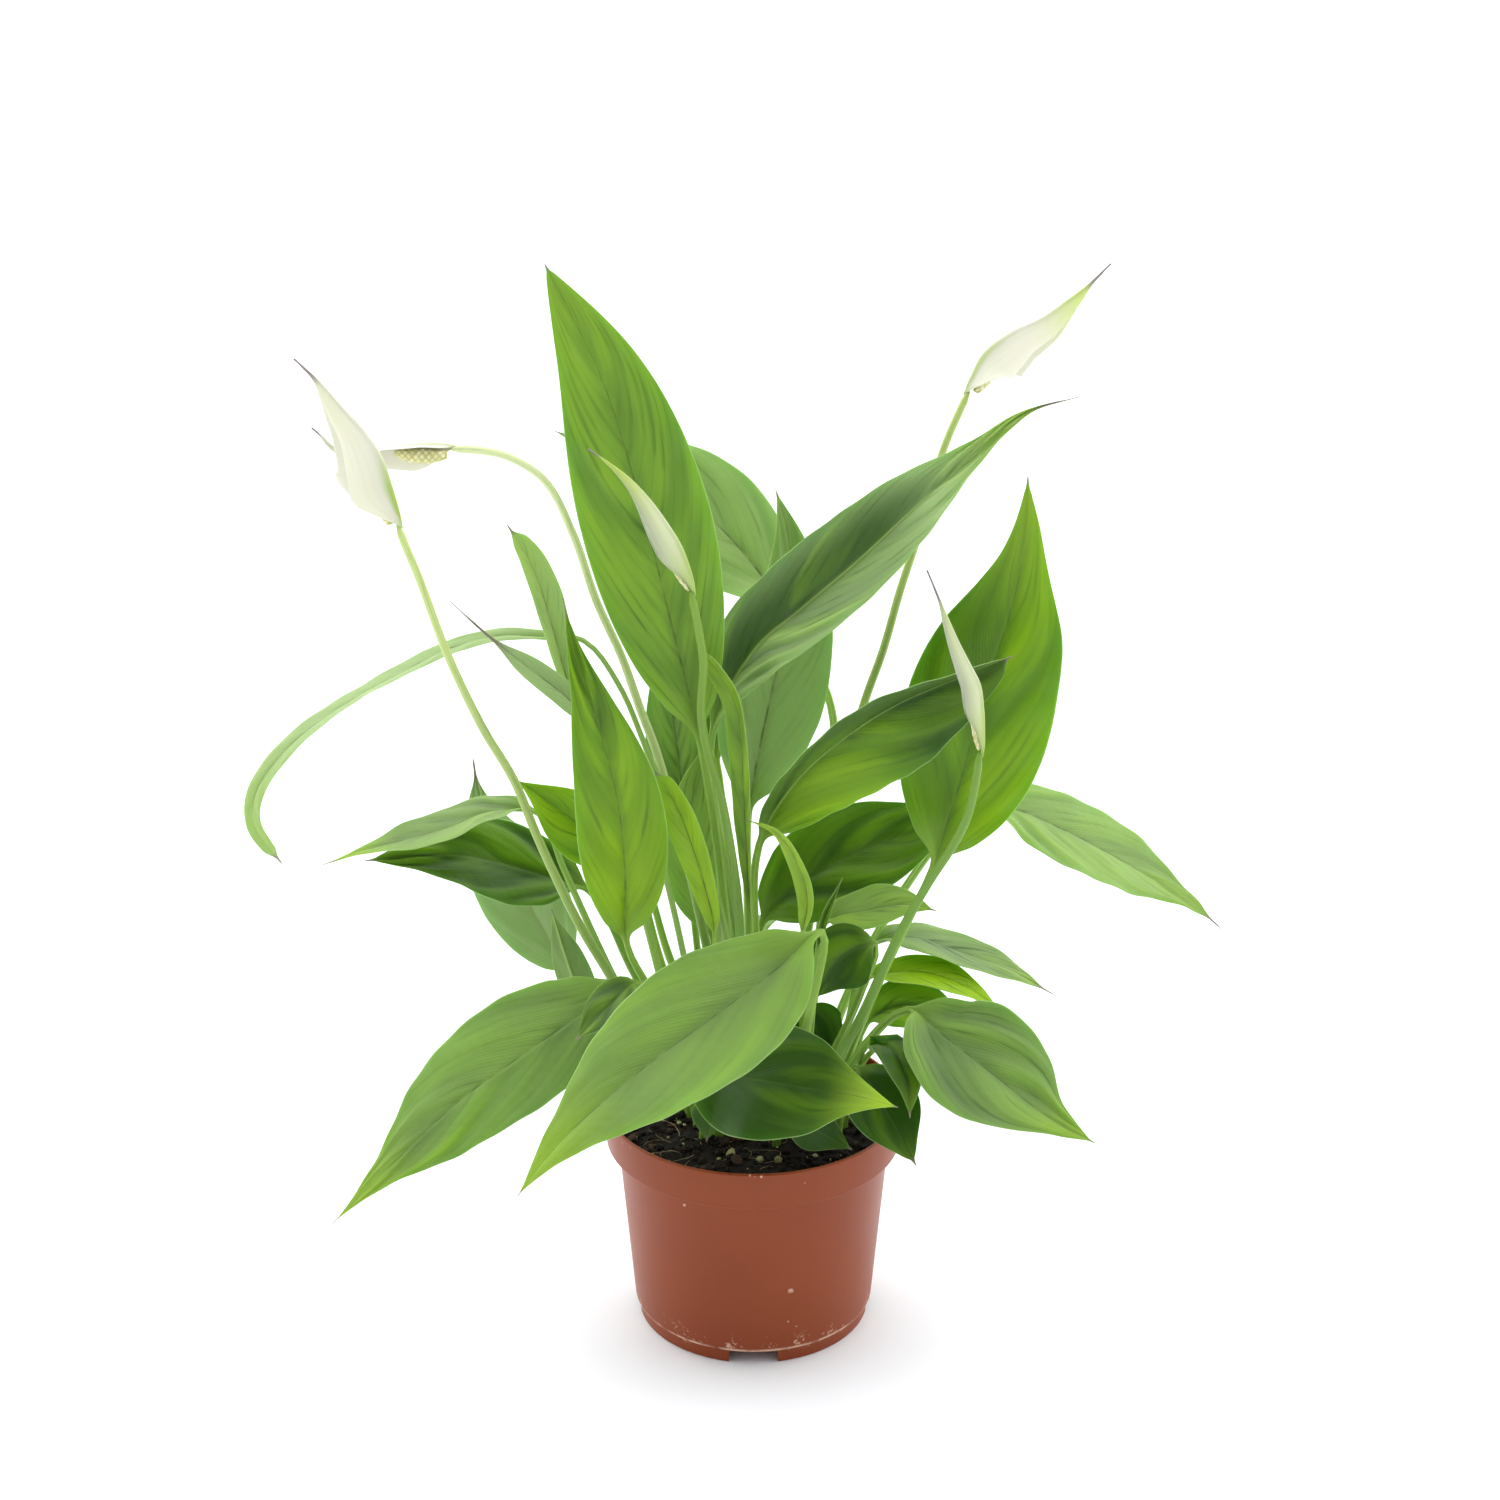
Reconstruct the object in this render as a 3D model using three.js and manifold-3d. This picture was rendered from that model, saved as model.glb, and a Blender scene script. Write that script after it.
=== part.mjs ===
// A potted peace lily: a terracotta-coloured nursery pot, potting soil, leaves on
// their petioles, and five flowers, each a stalk, a white spathe and a spadix.
// Millimetres, +Z up. The origin is on the pot's axis, on the surface it stands on.
import * as THREE from "three";
import { mergeVertices } from "three/addons/utils/BufferGeometryUtils.js";
import Module from "manifold-3d";

const wasm = await Module();
wasm.setup();

// ---------------------------------------------------------------- driving sizes
const potHeight = 94;
const rimRadius = 60;
const collarHeight = 16.5; // the straight band under the rim
const collarStep = 4.6; // how far the band stands out past the wall below it
const collarTaper = 0.8; // how much narrower the band is at its foot
const collarEase = 3; // the height over which the inner wall widens into the band
const innerTaper = 0.6; // and how much it widens from there to the rim
const wall = 1.3;
const bodyTopRadius = rimRadius - collarTaper - collarStep;
const bodyFootRadius = 48.4;
const footHeight = 5.5;
const footRadius = 46.8;
const footWall = 2.2;
const notchWidth = 22; // the gaps in the foot ring that let water out
const notchCount = 4;
const drainHoles = 6;
const drainRadius = 4;
const drainCircle = 30;
const soilTop = 87;
const soilBump = 1.2; // how far the soil's surface rises and falls
const soilEdge = 1.6; // how far its edge lies below its top
const soilRings = [50, 34, 17, 0];
const clearance = 0.3; // between pieces that rest on each other
const rootDepth = 24; // how deep a petiole stands in the soil
const holeRelief = 0.4; // how far its hole reaches below it

const potSides = 36;
const soilSides = 24;
const bladeThickness = 0.7;
const holeSides = 6;
const standingTop = soilTop + soilBump + 0.8; // where a petiole or stalk may start to lean

// Places in the foliage are given as they are seen from the eye point: across and
// up on the upright plane through the pot's axis, then how far behind that plane
// the place really is. The sight line carries it there.
const eye = new THREE.Vector3(-1.4, -1062.5, 685.6);

function seen([across, up, depth]) {
  const onPlane = new THREE.Vector3(across, 0, up);
  const reach = (depth - eye.y) / -eye.y;
  return onPlane.sub(eye).multiplyScalar(reach).add(eye);
}

// ---------------------------------------------------------------- the foliage
// root: where the petiole leaves the soil. stem: where the petiole passes.
// blade: the midrib from the petiole's end to the leaf's tip. width: across the
// blade where it is widest. face: where the upper side looks; faceMid, faceTip: the
// same halfway and at the tip, where the blade turns. fold: how far each half is
// raised, in degrees. foot: the petiole's radius in the soil, where it is stout.
const leaves = {
  tall_left: {
    root: [-6, 12],
    stem: [[-14, 205, 8]],
    blade: [[-20, 246, 8], [-31, 297, 14], [-42.5, 347, 22], [-55.5, 392, 30], [-75, 434, 38]],
    width: 51, widest: 0.46, tail: 0, face: [0.1, -1, 0.25], fold: 14,
  },
  tall_behind: {
    root: [12, 34],
    stem: [[26, 200, 50], [31, 245, 60], [29, 265, 68], [22, 282, 76]],
    blade: [[12, 300, 84], [0, 320, 90], [-20, 342, 96], [-45, 359, 100], [-73, 372, 102]],
    width: 46, face: [0.2, -0.85, 0.5], fold: 12,
  },
  small_behind: {
    root: [2, 26],
    stem: [[-2, 170, 46]],
    blade: [[-2, 218, 52], [2, 245, 56], [8, 275, 60], [14, 305, 62], [13, 330, 62], [8, 350, 62]],
    width: 45, face: [0.1, -0.9, 0.3], fold: 20,
  },
  dark_right: {
    root: [4, 16],
    stem: [[-8, 180, 20]],
    blade: [
      [-16, 250, 22], [0, 286, 28], [18, 303, 30], [39, 322, 34],
      [60, 343, 38], [80, 362, 38], [100, 379, 36], [119, 385, 34],
    ],
    width: 42, widest: 0.36, tail: 0.4, face: [-0.35, -0.8, 0.45], fold: 30,
  },
  large_right: {
    root: [30, -5],
    stem: [[37, 112, -4], [50, 148, -2], [60, 172, 6]],
    blade: [
      [69, 194, 16], [74, 212, 20], [80, 235, 24], [87, 268, 26],
      [96, 300, 28], [101, 330, 30], [101, 356, 32],
    ],
    width: 60, tail: 0.3, face: [-0.05, -1, 0.3], fold: 14,
  },
  mid_right: {
    root: [8, 6],
    stem: [[1, 160, 12]],
    blade: [[2, 205, 12], [16, 232, 9], [34, 250, 5], [54, 264, 1], [75, 274, -3], [98, 284, -7]],
    width: 56, widest: 0.52, face: [0.24, -0.93, -0.29], fold: 42,
  },
  low_behind_right: {
    root: [16, 18],
    stem: [[6, 140, 24]],
    blade: [[3, 171, 24], [18, 188, 26], [37, 201, 29], [58, 210, 34], [88, 222, 42]],
    width: 42, face: [0, -0.8, 0.6], fold: 14,
  },
  far_right: {
    root: [28, 32],
    stem: [[45, 160, 56], [70, 205, 66]],
    blade: [
      [84, 222, 69], [100, 221, 70], [118, 213, 70], [138, 202, 70],
      [157, 190, 70], [172, 180, 68], [184, 169, 66],
    ],
    width: 39, tail: 0.35, face: [0.25, -0.45, 0.85], fold: 10,
  },
  right_mid: {
    root: [32, 12],
    stem: [[38, 130, 18]],
    blade: [[46, 162, 24], [62, 166, 24], [80, 160, 22], [100, 152, 18], [120, 140, 14]],
    width: 26, face: [0.2, -0.1, 1], fold: 10,
  },
  right_bright: {
    root: [30, 4],
    stem: [[36, 120, 10]],
    blade: [[44, 147, 14], [58, 151, 13], [72, 149.5, 10], [86, 143, 7], [100, 131, 4]],
    width: 18, face: [0.15, -0.35, 0.95], fold: 14,
  },
  right_inner: {
    root: [37, -2],
    stem: [[40, 108, 2]],
    blade: [[45, 128, 4], [58, 136, 6], [72, 133, 4], [86, 120, 0]],
    width: 24, face: [0.2, -0.5, 0.85], fold: 14,
  },
  lower_right: {
    root: [28, -14],
    stem: [[43, 116, -18]],
    blade: [[61, 134, -20], [75, 123, -32], [97, 104, -46], [118, 86, -58], [138, 73.5, -66]],
    width: 52, widest: 0.4, tail: 0.3, face: [0.3, -0.65, 0.7], fold: 12,
  },
  small_curl: {
    root: [36, -10],
    stem: [[42, 107, -15]],
    blade: [[48, 116, -25], [53, 118, -32], [58, 112, -41], [62, 100, -48], [63, 85, -53]],
    width: 19, face: [0.45, -0.75, 0.5], fold: 16,
  },
  over_rim_right: {
    root: [33, -20],
    stem: [],
    blade: [[41, 108, -27], [47, 100, -33], [53, 89, -40], [60, 75, -47], [66, 63, -52]],
    width: 30, face: [0.2, -0.75, 0.6], fold: 12,
  },
  front_dark: {
    root: [0, -17],
    stem: [[-4, 100, -30]],
    blade: [[-25, 107, -36], [-2, 103, -50], [25, 98, -62], [42, 95, -70], [58, 90, -76]],
    width: 49, widest: 0.37, swell: 0.75, tail: 0.25, face: [0, -0.7, 0.7], fold: 8,
  },
  front_big: {
    root: [12, -19],
    stem: [[22, 130, -34]],
    blade: [
      [27, 168, -38], [8, 151, -52], [-17, 130, -68], [-39, 112, -80],
      [-63, 90, -92], [-82, 69, -100], [-96, 49, -105],
    ],
    width: 56, tail: 0.2, face: [-0.25, -0.65, 0.75], fold: 10,
  },
  left_front: {
    root: [-14, -18],
    stem: [[-36, 128, -20]],
    blade: [
      [-50, 147, -22], [-70, 131, -32], [-92, 114, -42],
      [-118, 93, -52], [-146, 64, -58], [-172, 36, -62],
    ],
    width: 50.5, widest: 0.37, tail: 0.3, face: [-0.25, -0.65, 0.75], fold: 12,
  },
  front_small: {
    root: [-6, -20],
    stem: [[-32, 132, -34]],
    blade: [[-46, 146, -36], [-57, 136, -44], [-71, 120, -52]],
    width: 18, face: [-0.2, -0.65, 0.75], fold: 14,
  },
  left_upper: {
    root: [-32, 14],
    stem: [[-56, 150, 10], [-74, 196, 18]],
    blade: [
      [-83, 219, 24], [-103, 219.5, 20], [-118, 213, 16], [-134, 208, 13], [-151, 203, 10], [-168, 197, 6],
    ],
    width: 24, tail: 0.45, face: [-0.1, -0.15, 1], fold: 16,
  },
  left_lower: {
    root: [-24, 22],
    stem: [[-47, 150, 26]],
    blade: [
      [-64, 186, 32], [-80, 192, 32], [-95, 197, 30],
      [-112, 201, 24], [-130, 201, 18], [-151, 199, 12],
    ],
    width: 38, face: [-0.1, -0.6, 0.8], fold: 14,
  },
  left_round: {
    root: [-24, 8],
    stem: [[-38, 160, 9]],
    blade: [[-48, 196, 13], [-66, 213, 15], [-80, 225, 14], [-91, 233, 12]],
    foot: 3, width: 27, face: [-0.3, -0.8, 0.5], fold: 12,
  },
  left_arch: {
    root: [-8, 4],
    stem: [[-11, 168, -1], [-20, 200, 2], [-30, 222, 5], [-38, 238, 7], [-51, 272, 12]],
    blade: [
      [-64, 290, 14], [-80, 291.5, 16], [-96, 292, 16], [-114, 287, 14], [-130, 279, 12],
      [-146, 270, 10], [-160, 261, 6], [-173, 251, 2], [-185, 238, -3], [-191, 228, -6],
      [-193, 219, -8], [-192, 212, -9], [-183, 197.5, -10],
    ],
    width: 12.5, widest: 0.6, swell: 0.5, fold: 14,
    face: [-0.1, -0.35, 0.93], faceMid: [-0.48, -0.1, 0.88], faceTip: [-0.6, -0.8, 0.1],
  },
  left_narrow: {
    root: [-18, 6],
    stem: [[-36, 200, -8]],
    blade: [[-50, 245, -11], [-71, 267, -12], [-91, 284, -12], [-103, 295, -12], [-114, 306, -12]],
    width: 11, tail: 0.7, face: [-0.2, -0.6, 0.8], fold: 20,
  },
  left_upright: {
    root: [-26, -2],
    stem: [[-50, 205, 0]],
    blade: [
      [-64, 250, 3], [-71, 275, 4], [-75, 292, 4], [-79, 308, 3], [-84, 322, 2], [-91.5, 336, 0],
    ],
    width: 16, widest: 0.58, tail: 0, face: [0.75, -0.75, 0.2], fold: 30,
  },
  mid_left: {
    root: [-22, -10],
    stem: [[-40, 140, -14]],
    blade: [
      [-49.5, 162, -16], [-50, 195, -22], [-53, 228, -26],
      [-61, 262, -26], [-68, 288, -22], [-71.5, 307, -18],
    ],
    width: 36, widest: 0.36, face: [0.1, -0.95, 0.25], fold: 18,
  },
  left_behind: {
    root: [-34, 26],
    stem: [[-50, 128, 38]],
    blade: [[-70, 148, 50], [-85, 175, 60], [-97, 200, 64], [-105, 222, 64], [-107.5, 243, 62]],
    width: 37, tail: 0.4, face: [-0.1, -0.9, 0.4], fold: 14,
  },
  left_bluish: {
    root: [-40, 6],
    stem: [],
    blade: [[-62, 128, 12], [-70, 145, 14], [-75, 162, 14], [-79, 178, 12]],
    width: 17, face: [0.3, 0.9, -0.2], fold: 20,
  },
  center_green: {
    root: [-14, -4],
    stem: [[-17, 130, -2]],
    blade: [[-15, 166, -4], [-19, 188, -6], [-25, 209, -6], [-31, 225, -5], [-38, 237, -4]],
    width: 14, widest: 0.66, swell: 0.55, face: [-0.3, -0.9, 0.2], fold: 22,
  },
  center_dark: {
    root: [-16, 20],
    stem: [[-22, 160, 36]],
    blade: [[-26, 205, 42], [-28, 235, 45], [-31, 262, 48], [-36, 300, 52]],
    width: 26, face: [0, -0.95, 0.3], fold: 16,
  },
  center_pale: {
    root: [-10, 28],
    stem: [[-14, 140, 30]],
    blade: [[-16, 165, 31], [-21, 188, 32], [-24, 208, 32], [-23, 230, 32], [-18, 250, 32]],
    width: 27, face: [0.1, -0.9, 0.3], fold: 18,
  },
  center_sheath: {
    root: [4, -6],
    stem: [[0, 140, -6]],
    blade: [[-1, 170, -5], [-3, 210, -3], [-5, 250, -1], [-8, 268, 1], [-20, 287, 4]],
    width: 12, widest: 0.7, face: [-0.6, -0.7, 0.2], fold: 30,
  },
  center_curl: {
    root: [12, -2],
    stem: [[16, 140, -4]],
    blade: [[19, 166, -6], [21, 183, -10], [17, 198, -12], [9, 211, -12], [-3, 216.5, -11]],
    width: 9, face: [-0.5, -0.8, 0.3], fold: 30,
  },
  spear_front: {
    root: [20, -12],
    stem: [[24, 140, -26]],
    blade: [[25, 160, -26], [28, 175, -25], [34.5, 191.5, -24]],
    width: 4, face: [0, -1, 0.2], fold: 40,
  },
  right_light: {
    root: [22, 8],
    stem: [[20, 140, 4]],
    blade: [[28, 172, 7], [45, 178, 2], [60, 180, -2], [71.5, 177.5, -8]],
    width: 24, face: [0, -0.4, 0.9], fold: 12,
  },
  right_dark: {
    root: [22, -4],
    stem: [[42, 140, -10]],
    blade: [[48, 163, -12], [39, 160, -14], [30, 150, -16], [24, 138, -18]],
    width: 27, face: [0.2, -0.8, 0.55], fold: 8,
  },
  low_dark: {
    root: [23, 15],
    stem: [],
    blade: [[32, 115, 13], [26, 121, 13], [18, 126, 12.5], [9, 130, 12]],
    width: 30, face: [0.05, -0.97, 0.2], fold: 8,
  },
  soil_right: {
    root: [9, -25],
    stem: [],
    blade: [[12, 86, -34], [26, 79, -38], [40, 70.5, -42]],
    width: 20, face: [0, -0.5, 0.85], fold: 10,
  },
  soil_left: {
    root: [-20, -22],
    stem: [],
    blade: [[-18, 96, -34], [-18, 86, -38], [-19, 74, -42]],
    width: 14, face: [0.1, -0.6, 0.8], fold: 12,
  },
  back_right: {
    root: [22, 40],
    stem: [[26, 158, 60]],
    blade: [[30, 190, 74], [40, 206, 88], [54, 214, 97], [70, 214, 105]],
    width: 40, face: [0.25, 0.2, 0.9], fold: 14,
  },
  back_center: {
    root: [-2, 42],
    stem: [[-10, 190, 62]],
    blade: [[-14, 240, 74], [-22, 270, 88], [-30, 290, 98], [-42, 302, 106]],
    width: 42, face: [0, -0.3, 0.9], fold: 16,
  },
  back_left: {
    root: [-18, 38],
    stem: [[-34, 160, 60]],
    blade: [[-42, 190, 72], [-52, 206, 84], [-64, 212, 95], [-74, 208, 105]],
    width: 36, face: [-0.25, 0.2, 0.9], fold: 14,
  },
  back_low: {
    root: [8, 46],
    stem: [[8, 140, 54]],
    blade: [[4, 166, 66], [-2, 174, 82], [-8, 172, 95], [-14, 160, 106]],
    width: 36, face: [0, 0.3, 0.9], fold: 12,
  },
};

// The flowers. stem: where the stalk passes, up to the spathe. spathe: its midrib.
// face: where the hollow side looks. claw: how wide the spathe starts, as a share.
const flowers = {
  left: {
    root: [-30, 2],
    stem: [
      [-38, 110, 0], [-56, 148, -2], [-68, 171, -2], [-77, 192, -2], [-84, 210, -3],
      [-92, 233, -4], [-103, 254, -6], [-115, 283, -10], [-125, 315, -14], [-131.5, 334, -16],
    ],
    spathe: [
      [-134.5, 350, -17], [-137, 361, -18], [-142.5, 371, -18],
      [-150, 380, -18], [-158, 390, -18], [-167, 399, -18],
    ],
    width: 44, claw: 0.34, face: [-1, -0.35, -0.2], fold: 57, spadix: { long: 28, radius: 2.4 },
  },
  drooping: {
    root: [-9, 20],
    stem: [
      [-20, 170, 22], [-37, 244, 22], [-43, 262, 22], [-50, 284, 22], [-59, 306, 24],
      [-67, 332, 25], [-77, 353, 25], [-90, 362, 24], [-100, 364.5, 23], [-109, 365, 22],
    ],
    spathe: [[-120, 366, 22], [-130, 366, 22], [-140, 364.5, 22], [-152, 365, 22], [-162, 373, 22]],
    width: 22, claw: 0.4, face: [0, -0.75, -0.65], fold: 40, spadix: { long: 20, radius: 2.6 },
  },
  center_bud: {
    root: [-4, -10],
    stem: [
      [-5, 150, -8], [-6, 180, -7], [-9, 205, -7], [-13, 228, -7], [-18, 247, -6],
      [-20, 262, -6], [-19, 280, -6], [-21, 296, -6], [-23, 307, -6],
    ],
    spathe: [
      [-25, 318, -6], [-28, 328, -6], [-33, 337, -5], [-40, 347, -4], [-47, 354.5, -3], [-61, 365, -2],
    ],
    width: 18, widest: 0.4, swell: 0.9, claw: 0.24, face: [-0.9, -0.4, -0.2], fold: 70,
    spadix: { long: 20, radius: 1.2 },
  },
  right_bud: {
    root: [22, -24],
    stem: [
      [34, 111, -26], [44, 134, -27], [57, 167, -28], [69, 191, -28], [76, 203, -28],
      [82, 216, -28], [85, 230, -28], [86.2, 242, -28],
    ],
    spathe: [
      [86.6, 252, -28], [86.5, 262, -28], [85.3, 272, -28], [81.5, 280, -28],
      [77, 289, -28], [73, 298, -28], [64.5, 318, -28],
    ],
    width: 14, widest: 0.42, swell: 0.9, claw: 0.3, face: [-1, -0.4, 0], fold: 70,
    spadix: { long: 20, radius: 1 },
  },
  right: {
    root: [20, 24],
    stem: [
      [30, 200, 44], [41, 261, 50], [49, 287, 53], [55, 311, 55], [60, 328, 57],
      [70, 366, 60], [77.5, 385, 60],
    ],
    spathe: [
      [80, 391, 60], [84, 400.5, 60], [93, 408.5, 60], [104, 414, 60],
      [113, 420.5, 60], [120, 426, 60], [128, 434, 60],
    ],
    width: 38, claw: 0.25, face: [0.65, -0.35, -0.6], fold: 60, spadix: { long: 26, radius: 2.3 },
  },
};

// ---------------------------------------------------------------- small helpers
const lerp = THREE.MathUtils.lerp;
const smooth = (x, from, to) => THREE.MathUtils.smoothstep(x, from, to);

function colour(hex, roughness) {
  return new THREE.MeshStandardMaterial({ color: hex, roughness, metalness: 0 });
}

const materials = {
  pot: colour(0x9c5138, 0.5),
  soil: colour(0x2a1d14, 0.95),
  leaf: colour(0x4f8a22, 0.38),
  stalk: colour(0x86ad3a, 0.45),
  spathe: colour(0xeef0dc, 0.55),
  spadix: colour(0xd9d98c, 0.8),
};

// A smooth line through points, as closely spaced places with their distances.
function trace(points, stepsPerSpan = 24) {
  const curve = new THREE.CatmullRomCurve3(points, false, "centripetal");
  const places = curve.getPoints(stepsPerSpan * (points.length - 1));
  const reached = [0];
  places.slice(1).forEach((p, i) => reached.push(reached[i] + p.distanceTo(places[i])));
  const at = (s) => {
    let i = reached.findIndex((r) => r >= s);
    if (i < 1) i = i < 0 ? reached.length - 1 : 1;
    const part = (s - reached[i - 1]) / (reached[i] - reached[i - 1] || 1);
    const direction = places[i].clone().sub(places[i - 1]).normalize();
    return { place: places[i - 1].clone().lerp(places[i], part), direction };
  };
  return { at, reached: (span) => reached[span * stepsPerSpan], length: reached.at(-1) };
}

// How wide a blade is at t along it, as a share of its widest: a wedge at the
// petiole, widest before the middle and drawn out to a fine tip. A lower swell makes
// it fuller at both ends, and tail takes that share off it before the tip.
function outline(t, { widest = 0.4, swell = 0.9, tail = 0.1 }) {
  const rise = Math.pow(t / widest, swell);
  const fall = Math.pow(Math.max(0, 1 - t) / (1 - widest), (swell * (1 - widest)) / widest);
  return rise * fall * (1 - tail * smooth(t, 0.6, 0.85));
}

// Places from one distance to another along a line, closer together where it bends.
function spread(line, from, to, spacing) {
  const bend = 27 * (Math.PI / 180); // as much turning as one spacing is long
  const fine = 1.5;
  const count = Math.ceil((to - from) / fine);
  const effort = [0];
  for (let i = 1; i <= count; i++) {
    const here = line.at(lerp(from, to, i / count)).direction;
    const before = line.at(lerp(from, to, (i - 1) / count)).direction;
    effort.push(effort[i - 1] + (to - from) / count / spacing + before.angleTo(here) / bend);
  }
  const steps = Math.max(2, Math.round(effort[count]));
  return Array.from({ length: steps + 1 }, (_, k) => {
    const i = effort.findIndex((e) => e >= (k / steps) * effort[count] - 1e-9);
    return lerp(from, to, i / count);
  });
}

// Joins rings of points into one closed skin. Each ring lists its upper points
// from left to right and then its lower points from left to right.
function skin(rings) {
  const place = [];
  rings.forEach((ring) => ring.forEach((p) => place.push(p.x, p.y, p.z)));
  const index = [];
  const at = (k, side, j) => k * 2 * across + side * across + j;
  const quad = (a, b, c, d) => index.push(a, b, c, a, c, d);
  for (let k = 0; k + 1 < rings.length; k++) {
    for (let j = 0; j + 1 < across; j++) {
      quad(at(k, 0, j), at(k, 0, j + 1), at(k + 1, 0, j + 1), at(k + 1, 0, j));
      index.push(at(k, 1, j), at(k + 1, 1, j + 1), at(k, 1, j + 1));
      index.push(at(k, 1, j), at(k + 1, 1, j), at(k + 1, 1, j + 1));
    }
    quad(at(k, 1, 0), at(k, 0, 0), at(k + 1, 0, 0), at(k + 1, 1, 0));
    const last = across - 1;
    quad(at(k, 0, last), at(k, 1, last), at(k + 1, 1, last), at(k + 1, 0, last));
  }
  const end = rings.length - 1;
  for (let j = 0; j + 1 < across; j++) {
    quad(at(0, 0, j), at(0, 1, j), at(0, 1, j + 1), at(0, 0, j + 1));
    quad(at(end, 0, j), at(end, 0, j + 1), at(end, 1, j + 1), at(end, 1, j));
  }
  const made = new THREE.BufferGeometry();
  made.setAttribute("position", new THREE.Float32BufferAttribute(place, 3));
  made.setIndex(index);
  made.computeVertexNormals();
  return made;
}

const across = 5; // points from one margin to the other, on each face

// A round ring: the upper points go over the top and the lower points underneath.
function roundRing(frame, radius) {
  const ring = [];
  for (const side of [1, -1]) {
    for (let j = 0; j < across; j++) {
      const angle = Math.PI * (0.9 - (0.8 * j) / (across - 1));
      const out = Math.cos(angle) * radius;
      const up = side * Math.sin(angle) * radius;
      ring.push(frame.place.clone().addScaledVector(frame.side, out).addScaledVector(frame.up, up));
    }
  }
  return ring;
}

// A ring across a blade: a V fold, arched halves, a waved margin, and a midrib
// that stands out underneath.
function bladeRing(frame, half, fold, arch, wave, rib) {
  const ring = [];
  for (const side of [1, -1]) {
    for (let j = 0; j < across; j++) {
      const v = (2 * j) / (across - 1) - 1;
      const size = Math.abs(v);
      const out = half * v * Math.cos(fold);
      const up = half * (size * Math.sin(fold) - arch * v * v + wave[v < 0 ? 0 : 1] * v * v);
      const slope = Math.sign(v) * Math.atan2(Math.sin(fold) - 2 * arch * size, Math.cos(fold));
      const skinDepth = (bladeThickness / 2) * side;
      const thick = size ? skinDepth : skinDepth / Math.cos(fold) - (side < 0 ? rib : 0);
      ring.push(
        frame.place
          .clone()
          .addScaledVector(frame.side, out - Math.sin(slope) * thick)
          .addScaledVector(frame.up, up + Math.cos(slope) * thick),
      );
    }
  }
  return ring;
}

// The directions across and out of the upper side, at a place on a line.
function turned({ place, direction }, face) {
  const up = face.clone().addScaledVector(direction, -face.dot(direction)).normalize();
  return { place, direction, up, side: direction.clone().cross(up) };
}

const vector = (list) => new THREE.Vector3(...list);
const upright = new THREE.Vector3(0, 0, 1);

// The whole line of a leaf or flower: upright in the soil, then through the places
// that its petiole or stalk and its blade pass.
function growthLine(root, stem, blade) {
  const foot = new THREE.Vector3(root[0], root[1], soilTop - rootDepth);
  const start = foot.clone().setZ(standingTop);
  const line = trace([foot, start, ...stem.map(seen), ...blade.map(seen)]);
  return { ...line, foot, start, ground: line.reached(1), neck: line.reached(2 + stem.length) };
}

// The round rings of a petiole or stalk, from its foot in the soil to its top. They
// are turned as little as can be from the way that the top one faces.
function stemRings(line, top, face, footRadius, neckRadius) {
  const rings = [];
  let held = face;
  for (const s of spread(line, line.ground, top, stemSpacing).slice(1).reverse()) {
    const frame = turned(line.at(s), held);
    held = frame.up;
    const share = (s - line.ground) / (top - line.ground);
    rings.unshift(roundRing(frame, lerp(footRadius, neckRadius, share)));
  }
  for (const place of [line.start, line.foot]) {
    rings.unshift(roundRing(turned({ place, direction: upright }, held), footRadius));
  }
  return rings;
}

// ---------------------------------------------------------------- leaves
const stemSpacing = 60;
const petioleFold = 50; // how steeply a blade's halves rise where it starts
const leafArch = 0.1; // how far each half bends down again, as a share of its width
const waveHeight = 0.05; // the margin's waves, as a share of the same
const waves = 1.6; // how many there are along a blade
const ribShare = 0.9; // the midrib's size at the petiole, as a share of the petiole's
const bladeStart = 0.04; // the first ring of a blade, as a share of its length
const bladeSteps = 7; // rings along a straight blade
const smallSteps = 5; // the same for one narrower than smallWidth
const smallWidth = 30;

function stemRadii(leaf) {
  const heavy = Math.min(1, leaf.width / 45);
  return { foot: leaf.foot ?? lerp(1.3, 2.4, heavy), neck: lerp(0.8, 1.5, heavy) };
}

// Where the upper side looks at t along the blade.
function facing(leaf, t) {
  const [start, end] = [leaf.face, leaf.faceTip ?? leaf.face].map((v) => vector(v).normalize());
  if (!leaf.faceMid) return start.lerp(end, t).normalize();
  const middle = vector(leaf.faceMid).normalize();
  return (t < 0.5 ? start.lerp(middle, 2 * t) : middle.lerp(end, 2 * t - 1)).normalize();
}

function leafGeometry(leaf, index) {
  const { foot, neck } = stemRadii(leaf);
  const line = growthLine(leaf.root, leaf.stem, leaf.blade);
  const bladeLength = line.length - line.neck;
  const rings = stemRings(line, line.neck, facing(leaf, 0), foot, neck);
  const spacing = bladeLength / (leaf.width < smallWidth ? smallSteps : bladeSteps);
  for (const s of spread(line, line.neck + bladeStart * bladeLength, line.length, spacing)) {
    const t = (s - line.neck) / bladeLength;
    const frame = turned(line.at(s), facing(leaf, t));
    const half = Math.max(0.5, (leaf.width / 2) * outline(t, leaf));
    const fold = THREE.MathUtils.degToRad(lerp(petioleFold, leaf.fold, smooth(t, 0, 0.2)));
    const turn = 2 * Math.PI * waves * t + index;
    const wave = [waveHeight * Math.sin(turn), waveHeight * Math.sin(turn + 2)];
    const rib = neck * ribShare * Math.pow(1 - t, 0.8);
    const flat = bladeRing(frame, half, fold, leafArch, wave, rib);
    const round = roundRing(frame, neck);
    const flatness = smooth(t, 0, 0.1);
    rings.push(flat.map((p, i) => round[i].clone().lerp(p, flatness)));
  }
  return skin(rings);
}

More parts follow.
